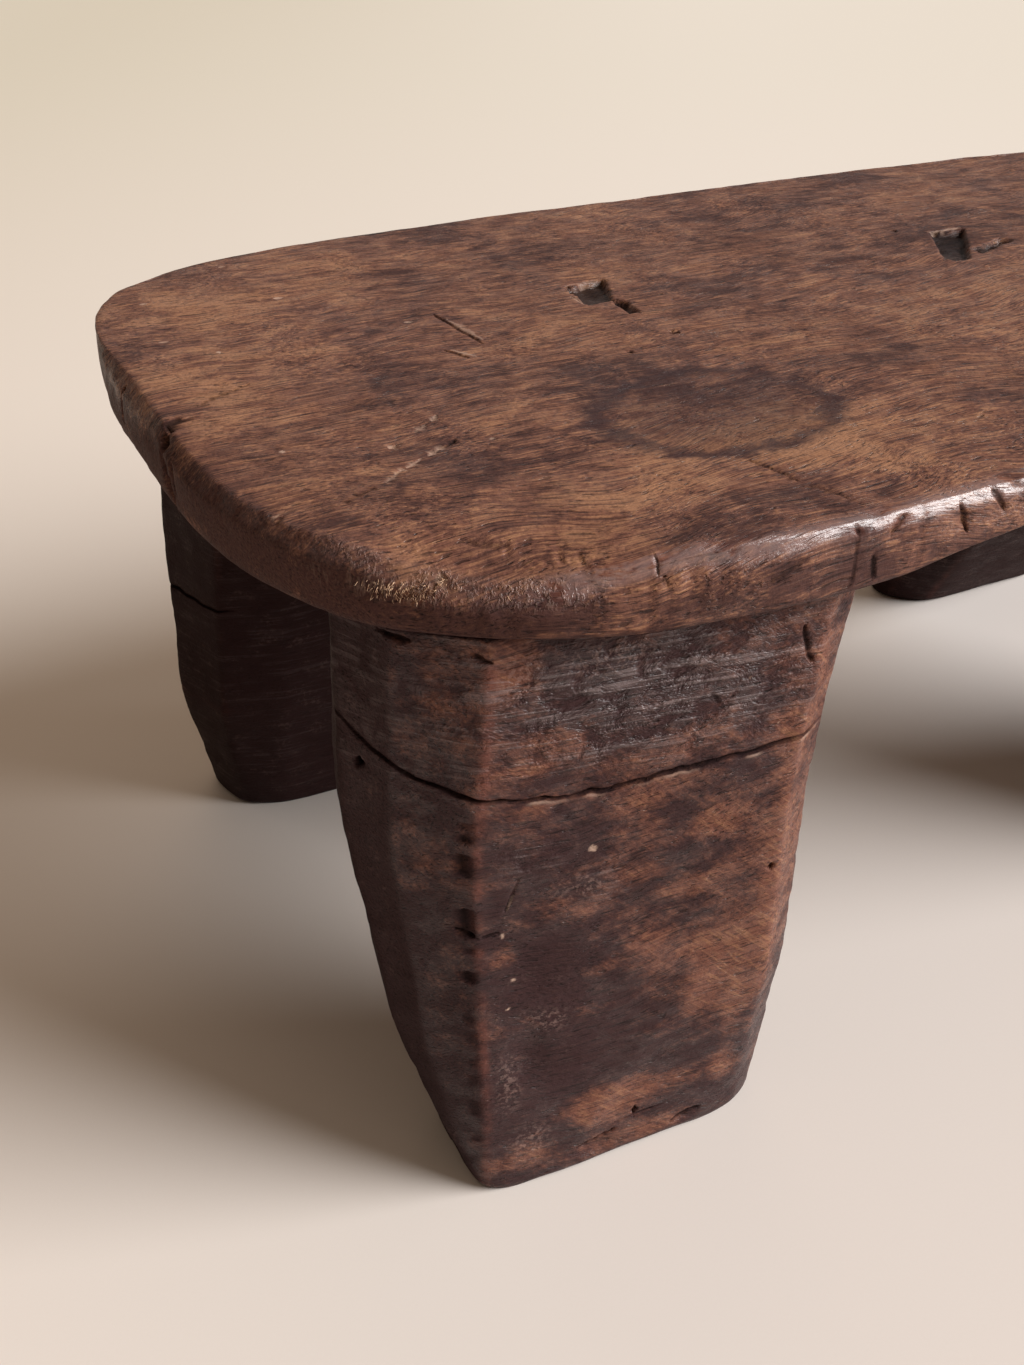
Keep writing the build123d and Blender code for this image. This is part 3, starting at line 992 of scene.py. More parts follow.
    def build(self, fine, coarse, rise):
        """The grid of points and the masks that go with it."""
        angle = self.columns(fine, coarse)
        check, opening = self.check_line(angle)
        loop = np.stack([np.cos(angle), np.sin(angle), np.zeros_like(angle)], axis=-1) * 0.07
        check = check + 0.0004 * ripple(loop, 0.006, 68, 3)
        middle = float(np.median(check[opening > 0.5]))
        base = self.heights(middle, rise)
        # The rows bend to follow the check, and lie level again at the foot and at the top.
        share = np.where(base < middle, np.clip(base / (middle - 0.006), 0, 1),
                         np.clip((SEAT_LOW - base) / (SEAT_LOW - middle - 0.006), 0, 1))
        height = base[:, None] + (check - middle)[None, :] * share[:, None]
        turn = np.broadcast_to(angle, height.shape)
        way = np.stack([np.cos(turn), np.sin(turn), np.zeros_like(turn)], axis=-1)
        points, spots, wear = self.handled(height, turn, way)
        points = self.hewn(points, way, wear)
        offset = height - check
        gape = self.gape(spots[len(base) // 2], opening)
        points, deep = self.open_check(points, spots, way, offset, base - middle, gape)

        # The check's mask, which also paints the check's inside near black as shade.
        crack = np.where(deep, opening, bell(np.abs(offset), 0.0007) * opening * 0.7)
        # Painted highlight: the lower lip of the check is made pale where light would catch it.
        lip = step(-0.0022, -0.0012, offset) * (1 - step(-0.0009, -0.0005, offset)) * opening
        lip = lip * np.clip(1.6 * noise(spots, (0.006, 0.006, 1), 75), 0, 1)
        lip = lip * step(0.136, 0.142, -spots[..., 1])
        masks = {"wear": wear, "check": crack, "lip": lip, "nicks": np.zeros(height.shape),
                 "bladed": np.full(height.shape, 0.12)}
        if self.near:
            masks.update(self.arris_marks(points, wear))
            scraped = 0.25 + 0.75 * bump_at(points, *SCRAPED_TOP) ** 0.5
            spotted = [0.6 * bump_at(points, *place) for place in SCRAPED_SPOTS]
            masks["bladed"] = np.max([step(0.155, 0.175, height) * scraped, *spotted], axis=0)
        return points, masks

    def arris_marks(self, points, wear):
        """The band along the arris, red from rubbing and partly a painted highlight, and the dark nicks on
        its left side.
        """
        x, y, z = np.moveaxis(points, -1, 0)
        arris = np.interp(z, (0, 0.146, SEAT_LOW), (-0.2525, -0.2525, -0.246))
        front = step(0.131, 0.137, -y)
        # The band right of the arris is both rubbed wear and a painted highlight.
        band = bell(np.maximum(np.abs(x - arris - 0.0010) - 0.0004, 0), 0.0013) * front
        band *= np.clip(0.55 + 0.9 * ripple(points, (0.01, 0.01, 0.006), 171, 2), 0, 1)
        height = 0.35 + 0.65 * step(0.07, 0.095, z) * (1 - step(0.150, 0.157, z))
        nicks = step(-0.20, 0.10, noise(points, (0.02, 0.02, 0.0035), 172)) * height
        nicks = nicks * bell(x - arris + 0.0022, 0.0017) * (z < 0.157) * (y < -0.12)
        return {"wear": np.maximum(wear * 0.3, 0.8 * band), "nicks": nicks}

    def cuts(self, points, wear):
        """Depths of the adze cuts and knocks, along the surface's own direction."""
        seed = 80 + 10 * LEGS.index(self.leg)
        depth = self.settings.hewing * ripple(points, (0.05, 0.05, 0.045), seed, 2)
        depth += 0.00025 * ripple(points, (0.02, 0.02, 0.007), seed + 3, 3)
        knock = step(0.35, 0.75, noise(points, (0.006, 0.006, 0.009), seed + 6))
        depth -= 0.0011 * knock * wear
        depth -= 0.0005 * wear * np.abs(noise(points, 0.0035, seed + 7))
        if not self.near:
            return depth
        # A smooth hollow, a scoop, a ridge that runs down to the foot, and small losses.
        depth -= 0.0010 * bump_at(points, (-0.199, -0.155, 0.195), (0.024, 0.03, 0.016))
        depth -= 0.0013 * bump_at(points, (-0.237, -0.14, 0.063), (0.010, 0.02, 0.020))
        gap = along(points, (-0.181, -0.150, 0.077), (-0.214, -0.145, 0.023))[0]
        depth += 0.0009 * bell(gap, 0.006)
        for spot, reach, deep in (((-0.212, -0.149, 0.008), (0.012, 0.02, 0.0055), 0.0016),
                                  ((-0.176, -0.151, 0.007), (0.009, 0.02, 0.0045), 0.0014)):
            depth -= deep * bump_at(points, spot, reach)
        # The arris is nicked along its left side.
        depth -= 0.0011 * self.arris_marks(points, wear)["nicks"]
        return depth


def leg_shell(leg, settings, fine, coarse, rise):
    """A whole leg: the skin, the sole, the shoulder, and the tenon with its kerf."""
    grid, masks = LegSkin(leg, settings).build(fine, coarse, rise)
    rows, columns = grid.shape[:2]
    faces = grid_faces(rows, columns, True).tolist()
    points = [grid.reshape(-1, 3)]
    values = {name: [mask.ravel()] for name, mask in masks.items()}
    count = rows * columns
    ends = ((grid[0], grid[0, :, 2].mean(), 0), (grid[-1], SEAT_LOW, (rows - 1) * columns))
    for ring, level, start in ends:
        centre = ring.mean(axis=0)
        centre[2] = level
        inner = []
        for share in (0.8, 0.4):
            loop = centre + (ring - centre) * share
            loop[:, 2] = level
            inner.append(loop)
        points += inner + [centre[None]]
        before = start + np.arange(columns)
        for number in range(2):
            here = count + number * columns + np.arange(columns)
            for a, b, c, d in zip(before, np.roll(before, -1), np.roll(here, -1), here):
                faces.append([a, b, c, d])
            before = here
        faces += [list(face) for face in fan(before, count + 2 * columns)]
        count += 2 * columns + 1
        for mask in values.values():
            mask.append(np.zeros(2 * columns + 1))
    tenon_points, tenon_faces = tenon(leg)
    points.append(tenon_points)
    faces += [[count + n for n in face] for face in tenon_faces]
    for mask in values.values():
        mask.append(np.zeros(len(tenon_points)))
    masks = {name: np.concatenate(mask) for name, mask in values.items()}
    points = np.concatenate(points)
    lines = LEG_MARKS if leg == "front_left" else ()
    points, normals, faces, masks = refine(points, faces, masks, near_marks(lines, 0.0008), 1)
    depth, masks["dark"], masks["pale"] = cut_marks(points, lines)
    masks["dark"] = np.maximum(masks["dark"], masks.pop("nicks") * 0.9)
    # The pale marks take the check's lip as well, as a painted highlight.
    masks["pale"] = np.maximum(masks["pale"], masks.pop("lip") * 0.55)
    masks["rub"] = rubbed_thin(points, LEG_RUBS if lines else (), 111 + len(leg))
    # Painted shade: the ends, the inner sides and the back legs are made darker, as they lie in shade.
    outer = step(0.2, 0.8, np.abs(normals[:, 1]) * np.sign(normals[:, 1] * points[:, 1]))
    masks["rub"] += (0.0 if "front" in leg else -0.25) - 0.42 * (1 - outer)
    places = DUSTY if lines else ()
    masks["dusty"] = np.max([np.zeros(len(points))] + [bump_at(points, *place) for place in places], axis=0)
    return np.clip(points - normals * depth[:, None], *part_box("leg_" + leg)), faces, masks


def tenon(leg):
    """The tenon, open down the middle for its wedge."""
    low, high = tenon_box(leg)
    wedge_low, wedge_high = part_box("wedge_" + leg)
    middle = (wedge_low.y + wedge_high.y) / 2
    head = (wedge_high.y - wedge_low.y) / 2
    tip = head * 0.3
    base = SEAT_LOW - 0.0006
    section = [(low.y, base), (high.y, base), (high.y, high.z), (middle + head, high.z),
               (middle + tip, wedge_low.z - END_PLAY), (middle - tip, wedge_low.z - END_PLAY),
               (middle - head, high.z), (low.y, high.z)]
    points = [(x, y, z) for x in (low.x, high.x) for y, z in section]
    count = len(section)
    faces = [[n, (n + 1) % count, (n + 1) % count + count, n + count] for n in range(count)]
    faces += [[0, 5, 6, 7], [0, 1, 4, 5], [1, 2, 3, 4]]
    faces += [[n + count for n in face] for face in ([7, 6, 5, 0], [5, 4, 1, 0], [4, 3, 2, 1])]
    return np.array(points), faces


# ------------------------------------------------------------------ node trees

class Wiring:
    """Adds nodes to one tree and joins them."""

    def __init__(self, tree):
        self.tree = tree

    def add(self, kind, inputs=None, **settings):
        node = self.tree.nodes.new(kind)
        for name, value in settings.items():
            setattr(node, name, value)
        for socket, value in (inputs or {}).items():
            self.feed(node.inputs[socket], value)
        return node

    def feed(self, socket, value):
        if isinstance(value, bpy.types.NodeSocket):
            self.tree.links.new(value, socket)
        else:
            socket.default_value = value

    def give(self, sockets, **values):
        for name, value in values.items():
            self.feed(sockets[name], value)

    def math(self, operation, a, b=0.0, c=0.0, clamp=False):
        node = self.add("ShaderNodeMath", {0: a, 1: b, 2: c}, operation=operation, use_clamp=clamp)
        return node.outputs[0]

    def times(self, a, b):
        return self.math("MULTIPLY", a, b)

    def plus(self, a, b):
        return self.math("ADD", a, b)

    def less(self, a, b):
        return self.math("SUBTRACT", a, b)

    def most(self, a, b):
        return self.math("MAXIMUM", a, b)

    def times_plus(self, a, b, c):
        return self.math("MULTIPLY_ADD", a, b, c)

    def vector(self, operation, a, b=(0, 0, 0)):
        node = self.add("ShaderNodeVectorMath", {0: a, 1: b}, operation=operation)
        return node.outputs["Value" if operation in ("LENGTH", "DOT_PRODUCT", "DISTANCE") else "Vector"]

    def noise(self, vector, scale=1.0, detail=3.0, rough=0.5, distortion=0.0, colour=False):
        node = self.add("ShaderNodeTexNoise", {"Vector": vector, "Scale": scale, "Detail": detail,
                                               "Roughness": rough, "Distortion": distortion})
        return node.outputs["Color" if colour else "Fac"]

    def ramp(self, value, low, high, start=0.0, end=1.0):
        node = self.add("ShaderNodeMapRange", {0: value, 1: low, 2: high, 3: start, 4: end},
                        interpolation_type="SMOOTHSTEP")
        return node.outputs[0]

    def mix(self, share, a, b, blend="MIX"):
        node = self.add("ShaderNodeMix", {0: share, 6: a, 7: b}, data_type="RGBA", blend_type=blend)
        return node.outputs[2]

    def over(self, colour, where, strength, other):
        """Lay another colour over the first, where a mask says and as strongly as given."""
        return self.mix(self.times(where, strength), colour, other)

    def place(self):
        return self.add("ShaderNodeTexCoord").outputs["Object"]

    def part(self, vector, axis):
        return self.add("ShaderNodeSeparateXYZ", {0: vector}).outputs[axis]

    def mask(self, name):
        return self.add("ShaderNodeAttribute", attribute_name=name).outputs["Fac"]

    def group(self, tree, **inputs):
        node = self.add("ShaderNodeGroup", node_tree=tree)
        for name, value in inputs.items():
            self.feed(node.inputs[name.replace("_", " ")], value)
        return node


def new_group(name, inputs, outputs):
    """An empty shader node group: inputs by name and default, and outputs that are plain numbers."""
    tree = bpy.data.node_groups.new(name, "ShaderNodeTree")
    for label, default in inputs.items():
        kind = "NodeSocketFloat" if isinstance(default, float) else "NodeSocketVector"
        socket = tree.interface.new_socket(label, in_out="INPUT", socket_type=kind)
        if default is not None:
            socket.default_value = default
    for label in outputs:
        tree.interface.new_socket(label, in_out="OUTPUT", socket_type="NodeSocketFloat")
    wiring = Wiring(tree)
    return tree, wiring, wiring.add("NodeGroupInput").outputs, wiring.add("NodeGroupOutput").inputs


def scaled(w, vector, scale):
    """A vector made longer or shorter."""
    return w.add("ShaderNodeVectorMath", {0: vector, "Scale": scale}, operation="SCALE").outputs[0]


def grain_group():
    """Wood grain that runs along the log, through the whole solid."""
    tree, w, given, result = new_group("log_grain", {
        "Position": None, "Swirl": 0.03, "Figure Length": 0.026, "Figure Width": 0.008,
        "Streak Length": 0.024, "Streak Width": 0.0010, "Pore Length": 0.0075, "Pore Width": 0.0009,
    }, ("Figure", "Streaks", "Pores", "Relief"))
    sway = w.vector("SUBTRACT", w.noise(given["Position"], 8.0, 2.0, 0.5, colour=True), (0.5, 0.5, 0.5))
    small = w.vector("SUBTRACT", w.noise(given["Position"], 60.0, 1.0, 0.5, colour=True), (0.5, 0.5, 0.5))
    bent = w.vector("ADD", w.vector("ADD", given["Position"], scaled(w, sway, given["Swirl"])),
                    scaled(w, small, 0.0028))

    def stretched(length, width):
        sizes = w.add("ShaderNodeCombineXYZ", {0: length, 1: width, 2: width}).outputs[0]
        return w.vector("DIVIDE", bent, sizes)

    figure = w.noise(stretched(given["Figure Length"], given["Figure Width"]), 1.0, 5.0, 0.66)
    streaks = w.noise(stretched(given["Streak Length"], given["Streak Width"]), 1.0, 3.0, 0.62)
    pores = w.ramp(w.noise(stretched(given["Pore Length"], given["Pore Width"]), 1.0, 1.0, 0.5), 0.62, 0.72)
    relief = w.times_plus(figure, 0.40, w.times(streaks, 0.60))
    relief = w.less(relief, w.times(pores, 0.35))
    w.give(result, Figure=figure, Streaks=streaks, Pores=pores, Relief=relief)
    return tree


def patina_group():
    """Uneven dark skin left by smoke and hands: clouds, small blotches, fine mottling and pale specks."""
    tree, w, given, result = new_group("patina", {
        "Position": None, "Rub": 0.5, "Figure": 0.5, "Cloud Scale": 26.0, "Blotch Scale": 130.0,
        "Cloud Strength": 0.7, "Blotch Strength": 0.5,
    }, ("Bare", "Blotches", "Mottle", "Specks"))
    clouds = w.noise(given["Position"], given["Cloud Scale"], 4.0, 0.62, 0.6)
    longer = w.vector("MULTIPLY", given["Position"], (0.6, 1.0, 1.0))
    blotches = w.noise(longer, given["Blotch Scale"], 4.0, 0.66, 0.4)
    mottle = w.noise(given["Position"], 620.0, 2.0, 0.6)
    # Bare is about 0 where the skin is as thick as usual, and more where it has thinned.
    bare = w.times(w.less(clouds, 0.5), given["Cloud Strength"])
    for part, strength in ((given["Figure"], 0.55), (blotches, given["Blotch Strength"]),
                           (given["Rub"], 0.6), (mottle, 0.14)):
        bare = w.plus(bare, w.times(w.less(part, 0.5), strength))
    cells = w.add("ShaderNodeTexVoronoi", {"Vector": given["Position"], "Scale": 60.0}, feature="F1")
    chance = w.part(cells.outputs["Color"], 0)
    specks = w.times(w.ramp(cells.outputs["Distance"], 0.014, 0.030, 1.0, 0.0), w.ramp(chance, 0.86, 0.90))
    w.give(result, Bare=bare, Blotches=blotches, Mottle=mottle, Specks=specks)
    return tree


def scrape_group():
    """Fine ridges that a blade leaves, level ones and slanting ones, from 0 to 1."""
    tree, w, given, result = new_group("blade_marks", {
        "Position": None, "Stretch": (30.0, 30.0, 700.0), "Slant": (0.0, -0.75, 0.0),
        "Slant Stretch": (85.0, 400.0, 700.0),
    }, ("Ridges", "Hatch"))
    ridges = w.noise(w.vector("MULTIPLY", given["Position"], given["Stretch"]), 1.0, 3.0, 0.62, 0.5)
    turned = w.add("ShaderNodeVectorRotate", {"Vector": given["Position"], "Rotation": given["Slant"]},
                   rotation_type="EULER_XYZ").outputs[0]
    hatch = w.noise(w.vector("MULTIPLY", turned, given["Slant Stretch"]), 1.0, 3.0, 0.62, 0.3)
    w.give(result, Ridges=ridges, Hatch=hatch)
    return tree


def tint(colour):
    """A setting's colour with the fourth number that a node wants."""
    return (*colour, 1.0)


PALE_NICK = (0.50, 0.34, 0.26, 1)
DUST = (0.55, 0.43, 0.36, 1)
DUSTY_SKIN = (0.27, 0.17, 0.145, 1)
# Near black with a red cast, for dark patches of patina and for painted shade on the legs' ends, inner sides
# and back legs.
SOOT_AND_SHADE = (0.018, 0.0055, 0.0048, 1)
# Pale pinkish grey, mixed into the wood's colour as a painted highlight on the polished edge and the blade's
# ridges.
PAINTED_SHEEN = (0.30, 0.23, 0.225, 1)
FIBRE_DARK = (0.20, 0.095, 0.055, 1)
FIBRE_PALE = (0.66, 0.44, 0.29, 1)
RELIEF = 0.0008          # height of the grain's bumps
STAIN_CENTRE = (-0.139, -0.081, 0.239)
STAIN_RADIUS = 0.036


def wood_material(name, groups, wood, kind):
    """Dark, handled wood. kind is seat, leg or wedge."""
    material = bpy.data.materials.new(name)
    material.use_nodes = True
    material.node_tree.nodes.clear()
    w = Wiring(material.node_tree)
    seat = kind == "seat"
    position = w.place()
    swirl = 0.05 if seat else 0.03
    grain = w.group(groups["grain"], Position=position, Swirl=swirl, Streak_Width=0.0008).outputs
    rub = w.mask("rub") if kind != "wedge" else 0.5
    marks = w.group(groups["scrape"], Position=position).outputs
    strokes = grain["Streaks"] if seat else marks["Hatch"]
    bared = w.plus(w.times_plus(strokes, 0.45 if seat else 0.36, -0.22 if seat else -0.19), rub)
    patina = w.group(groups["patina"], Position=position, Rub=bared, Figure=grain["Figure"],
                     Cloud_Scale=22.0 if seat else 30.0, Cloud_Strength=0.7 if seat else 0.45,
                     Blotch_Strength=0.62 if seat else 0.26).outputs
    dark, brown, ochre = tint(wood.dark), tint(wood.brown), tint(wood.ochre)
    red, pores_and_shade = tint(wood.red), tint(wood.pores_and_shade)

    # The skin thins from dark through brown to ochre. The legs keep more of it.
    bare = patina["Bare"]
    if seat:
        colour = w.mix(w.ramp(bare, -0.20, 0.06), w.mix(0.24, dark, brown), brown)
        colour = w.mix(w.ramp(bare, 0.00, 0.28, 0.0, 0.75), colour, ochre)
        bright = w.times(w.ramp(grain["Streaks"], 0.50, 0.68), w.ramp(bare, -0.20, 0.12, 0.10, 0.75))
        colour = w.mix(bright, colour, ochre)
    else:
        colour = w.mix(w.ramp(bare, -0.07, 0.20), dark, w.mix(0.35, brown, red))
        colour = w.mix(w.times(w.ramp(grain["Streaks"], 0.52, 0.74), w.ramp(bare, -0.05, 0.20, 0.04, 0.35)),
                       colour, ochre)
    colour = w.mix(w.ramp(grain["Streaks"], 0.30, 0.49, 0.62, 0.0), colour, pores_and_shade)
    colour = w.over(colour, grain["Pores"], 0.5, pores_and_shade)
    colour = w.mix(w.ramp(patina["Mottle"], 0.30, 0.48, 0.40, 0.0), colour, dark)
    height = w.times_plus(patina["Mottle"], 0.30, grain["Relief"])
    rough = w.plus(w.times_plus(patina["Blotches"], 0.40, 0.32), w.ramp(rub, 0.0, 0.45, 0.30, 0.0))
    polish = w.times(w.ramp(patina["Blotches"], 0.38, 0.62, 0.04, 0.42), w.ramp(rub, 0.1, 0.5, 0.10, 1.0))

    if seat:
        worn, torn, chip, under = [w.mask(name) for name in ("worn_edge_and_highlight", "torn", "chip", "underside")]
        # The ring that a wet pot left, broken in places, and the darker pool inside it.
        away = w.vector("MULTIPLY", w.vector("SUBTRACT", position, STAIN_CENTRE), (0.92, 1.15, 0.0))
        gap = w.plus(w.vector("LENGTH", away), w.times_plus(patina["Blotches"], 0.024, -0.012))
        stain = w.ramp(w.math("ABSOLUTE", w.less(gap, STAIN_RADIUS)), 0.001, 0.009, 0.88, 0.0)
        stain = w.times(stain, w.ramp(w.noise(position, 28.0, 2.0, 0.5), 0.34, 0.52, 0.45, 1.0))
        pool = w.ramp(gap, 0.022, 0.042, 0.50, 0.0)
        above = w.ramp(w.part(position, 2), 0.233, 0.237)
        colour = w.mix(w.times(w.most(stain, pool), above), colour, dark)
        # The torn corner, the polished edge with its painted highlight, the chips painted near black as
        # shade, and the underside.
        strands = w.noise(w.vector("MULTIPLY", position, (900, 900, 260)), 1.0, 2.0, 0.6)
        fuzz = w.times(torn, w.ramp(strands, 0.46, 0.64))
        colour = w.over(colour, torn, 0.55, dark)
        colour = w.over(colour, fuzz, 0.5, PALE_NICK)
        rubbed = w.times(worn, w.ramp(patina["Blotches"], 0.38, 0.60))
        colour = w.over(colour, rubbed, 0.45, red)
        # Painted shade: the chips are near black inside.
        colour = w.over(colour, chip, 0.86, pores_and_shade)
        colour = w.over(colour, under, 0.6, dark)
        # Painted highlight: the polished edge is mixed towards a pale sheen colour, besides its coat.
        shiny = w.times(worn, w.ramp(grain["Figure"], 0.40, 0.49))
        colour = w.over(colour, shiny, 0.35, PAINTED_SHEEN)
        polish = w.most(polish, shiny)
        rough = w.times_plus(torn, 0.25, w.times_plus(shiny, -0.18, rough))
        height = w.times_plus(fuzz, 0.9, w.times(height, w.times_plus(worn, -0.5, 1.0)))
    elif kind == "leg":
        wear, check = w.mask("wear"), w.mask("check")
        # Slanting scratches, soot and painted shade, dust, the rubbed arrises with their painted highlight,
        # the blade's ridges with a painted sheen, and the check painted dark as shade.
        hatched = w.times(w.ramp(marks["Hatch"], 0.46, 0.68), w.ramp(bare, 0.04, 0.34, 0.0, 0.62))
        colour = w.mix(hatched, colour, w.mix(0.15, ochre, red))
        # Darkest where the guide is low: real dark patina, and painted shade on the ends, inner sides and
        # back legs.
        colour = w.mix(w.ramp(rub, -0.12, 0.26, 0.80, 0.0), colour, SOOT_AND_SHADE)
        patches = w.times_plus(w.mask("dusty"), 0.42, w.ramp(patina["Blotches"], 0.52, 0.66, 0.0, 0.10))
        grains = w.times(w.ramp(patina["Mottle"], 0.48, 0.62), patches)
        colour = w.mix(grains, colour, DUSTY_SKIN)
        # The arris band is painted red: worn wood, and in part a painted highlight.
        colour = w.mix(w.times(wear, w.ramp(patina["Blotches"], 0.36, 0.58, 0.20, 0.80)), colour, red)
        # Painted sheen: the blade's ridges are mixed towards a pale colour that stands in for their glints.
        where = w.times(w.ramp(patina["Blotches"], 0.38, 0.58), w.mask("bladed"))
        crest = w.times(w.ramp(marks["Ridges"], 0.50, 0.64), where)
        colour = w.over(colour, crest, 0.46, PAINTED_SHEEN)
        height = w.times_plus(w.times(marks["Ridges"], where), 1.8, height)
        height = w.times_plus(marks["Hatch"], 0.25, height)
        polish = w.most(polish, w.times(where, 0.7))
        # Painted shade: the inside of the check is near black.
        colour = w.mix(check, colour, pores_and_shade)
        rough = w.plus(rough, check)
        polish = w.math("SUBTRACT", polish, check, clamp=True)

    # Pale nicks, dark pits and checks painted near black as shade, and specks of dust.
    if kind != "wedge":
        pale, deep = w.mask("pale"), w.mask("dark")
        colour = w.over(colour, pale, 0.8, PALE_NICK)
        colour = w.over(colour, deep, 0.92, pores_and_shade)
        colour = w.over(colour, patina["Specks"], 0.6, DUST)
        rough = w.math("ADD", rough, w.times(deep, 0.5), clamp=True)
        polish = w.math("SUBTRACT", polish, deep, clamp=True)
    bump = w.add("ShaderNodeBump", {"Height": height, "Strength": 1.0, "Distance": RELIEF}).outputs[0]
    shader = w.add("ShaderNodeBsdfPrincipled", {
        "Base Color": colour, "Roughness": rough, "Normal": bump, "IOR": 1.48, "Specular IOR Level": 0.12,
        "Coat Weight": polish, "Coat Roughness": 0.24, "Coat IOR": 1.5, "Coat Normal": bump})
    output = w.add("ShaderNodeOutputMaterial")
    w.feed(output.inputs["Surface"], shader.outputs[0])
    return material


def woods():
    """The three wood materials, made once."""
    if "smoked_seat_wood" in bpy.data.materials:
        return {kind: bpy.data.materials["smoked_" + kind + "_wood"] for kind in ("seat", "leg", "wedge")}
    groups = {"grain": grain_group(), "patina": patina_group(), "scrape": scrape_group()}
    wood = bpy.context.scene.stool.wood
    return {kind: wood_material("smoked_" + kind + "_wood", groups, wood, kind)
            for kind in ("seat", "leg", "wedge")}


# ------------------------------------------------------------------ torn fibres

FIBRE_SEED = 5


def fibre_tree():
    """Bent, tapered fibres that stand where the wood is torn and lean outwards and down."""
    tree = bpy.data.node_groups.new("torn_fibres", "GeometryNodeTree")
    face = tree.interface
    face.new_socket("Seat", in_out="INPUT", socket_type="NodeSocketGeometry")
    for label, kind, default in (("Density", "Float", 1.0), ("Length", "Float", 0.0025),
                                 ("Thickness", "Float", 0.0001), ("Seed", "Int", FIBRE_SEED),
                                 ("Material", "Material", None)):
        socket = face.new_socket(label, in_out="INPUT", socket_type="NodeSocket" + kind)
        if default is not None:
            socket.default_value = default
    face.new_socket("Fibres", in_out="OUTPUT", socket_type="NodeSocketGeometry")
    w = Wiring(tree)
    given = w.add("NodeGroupInput").outputs
    torn = w.add("GeometryNodeInputNamedAttribute", {"Name": "torn"}, data_type="FLOAT").outputs["Attribute"]
    share = w.times(w.ramp(torn, 0.30, 0.85), given["Density"])
    spread = w.add("GeometryNodeDistributePointsOnFaces", {"Mesh": given["Seat"], "Density": share,
                                                           "Seed": given["Seed"]}, distribute_method="RANDOM")
    bend = w.add("GeometryNodeCurvePrimitiveBezierSegment", {
        "Resolution": 4, "Start": (0, 0, -0.15), "Start Handle": (0, 0, 0.3), "End Handle": (0.1, 0.0, 0.7),
        "End": (0.35, 0.05, 1.0)}).outputs[0]
    long = w.add("GeometryNodeTransform", {"Geometry": bend, "Scale": w.add("ShaderNodeCombineXYZ", {
        0: given["Length"], 1: given["Length"], 2: given["Length"]}).outputs[0]}).outputs[0]
    taper = w.times_plus(w.add("GeometryNodeSplineParameter").outputs["Factor"], -0.85, 1.0)
    ring = w.add("GeometryNodeCurvePrimitiveCircle",
                 {"Resolution": 5, "Radius": given["Thickness"]}).outputs["Curve"]
    shape = w.add("GeometryNodeCurveToMesh", {"Curve": w.add("GeometryNodeSetCurveRadius", {
        "Curve": long, "Radius": taper}).outputs[0], "Profile Curve": ring, "Fill Caps": True})
    w.feed(shape.inputs["Scale"], taper)
    seed = w.plus(given["Seed"], 1.0)
    stray = w.add("FunctionNodeRandomValue", {0: (-0.75, -0.45, -0.45), 1: (0.55, 0.45, 0.45), "Seed": seed},
                  data_type="FLOAT_VECTOR").outputs[0]
    lean = w.vector("ADD", w.vector("ADD", spread.outputs["Normal"], stray), (-0.25, -0.55, -0.75))
    turn = w.add("FunctionNodeAlignRotationToVector", {"Vector": lean}, axis="Z").outputs[0]
    size = w.add("FunctionNodeRandomValue", {2: 0.35, 3: 1.25, "Seed": seed}, data_type="FLOAT").outputs[1]
    placed = w.add("GeometryNodeInstanceOnPoints", {
        "Points": spread.outputs["Points"], "Instance": shape.outputs[0], "Rotation": turn,
        "Scale": size}).outputs[0]
    real = w.add("GeometryNodeRealizeInstances", {"Geometry": placed}).outputs[0]
    done = w.add("GeometryNodeSetMaterial", {"Geometry": real, "Material": given["Material"]}).outputs[0]
    w.feed(w.add("NodeGroupOutput").inputs[0], done)
    return tree


def fibre_wood():
    """Pale, matt wood of the torn fibres, darker in some than in others."""
    material = bpy.data.materials.new("torn_fibre_wood")
    material.use_nodes = True
    w = Wiring(material.node_tree)
    shader = material.node_tree.nodes["Principled BSDF"]
    position = w.place()
    patches = w.noise(position, 420.0, 2.0, 0.6)
    colour = w.mix(w.ramp(patches, 0.38, 0.56), FIBRE_DARK, FIBRE_PALE)
    w.feed(shader.inputs["Base Color"], colour)
    w.feed(shader.inputs["Roughness"], w.ramp(patches, 0.3, 0.7, 0.85, 0.6))
    shader.inputs["Specular IOR Level"].default_value = 0.2
    return material


# ------------------------------------------------------------------ operators

# Spacing of a leg's grid: round its outer faces, round the rest, and up the leg.
NEAR_SPACING = (0.0009, 0.0026, 0.00105)
FAR_SPACING = (0.0018, 0.0032, 0.0019)
CAMERA_PLACE = (-0.38305, -0.42277, 0.40239)
CAMERA_YAW = radians(26.82)
CAMERA_PITCH = radians(32.46)
KEY_FROM = Vector((0.717, -0.502, 0.485))
KEY_COLOUR = (1.0, 0.988, 0.98)
FLOOR_REACH = 14
FLOOR_TOOTH = (0.5, 0.42, 0.36, 1)


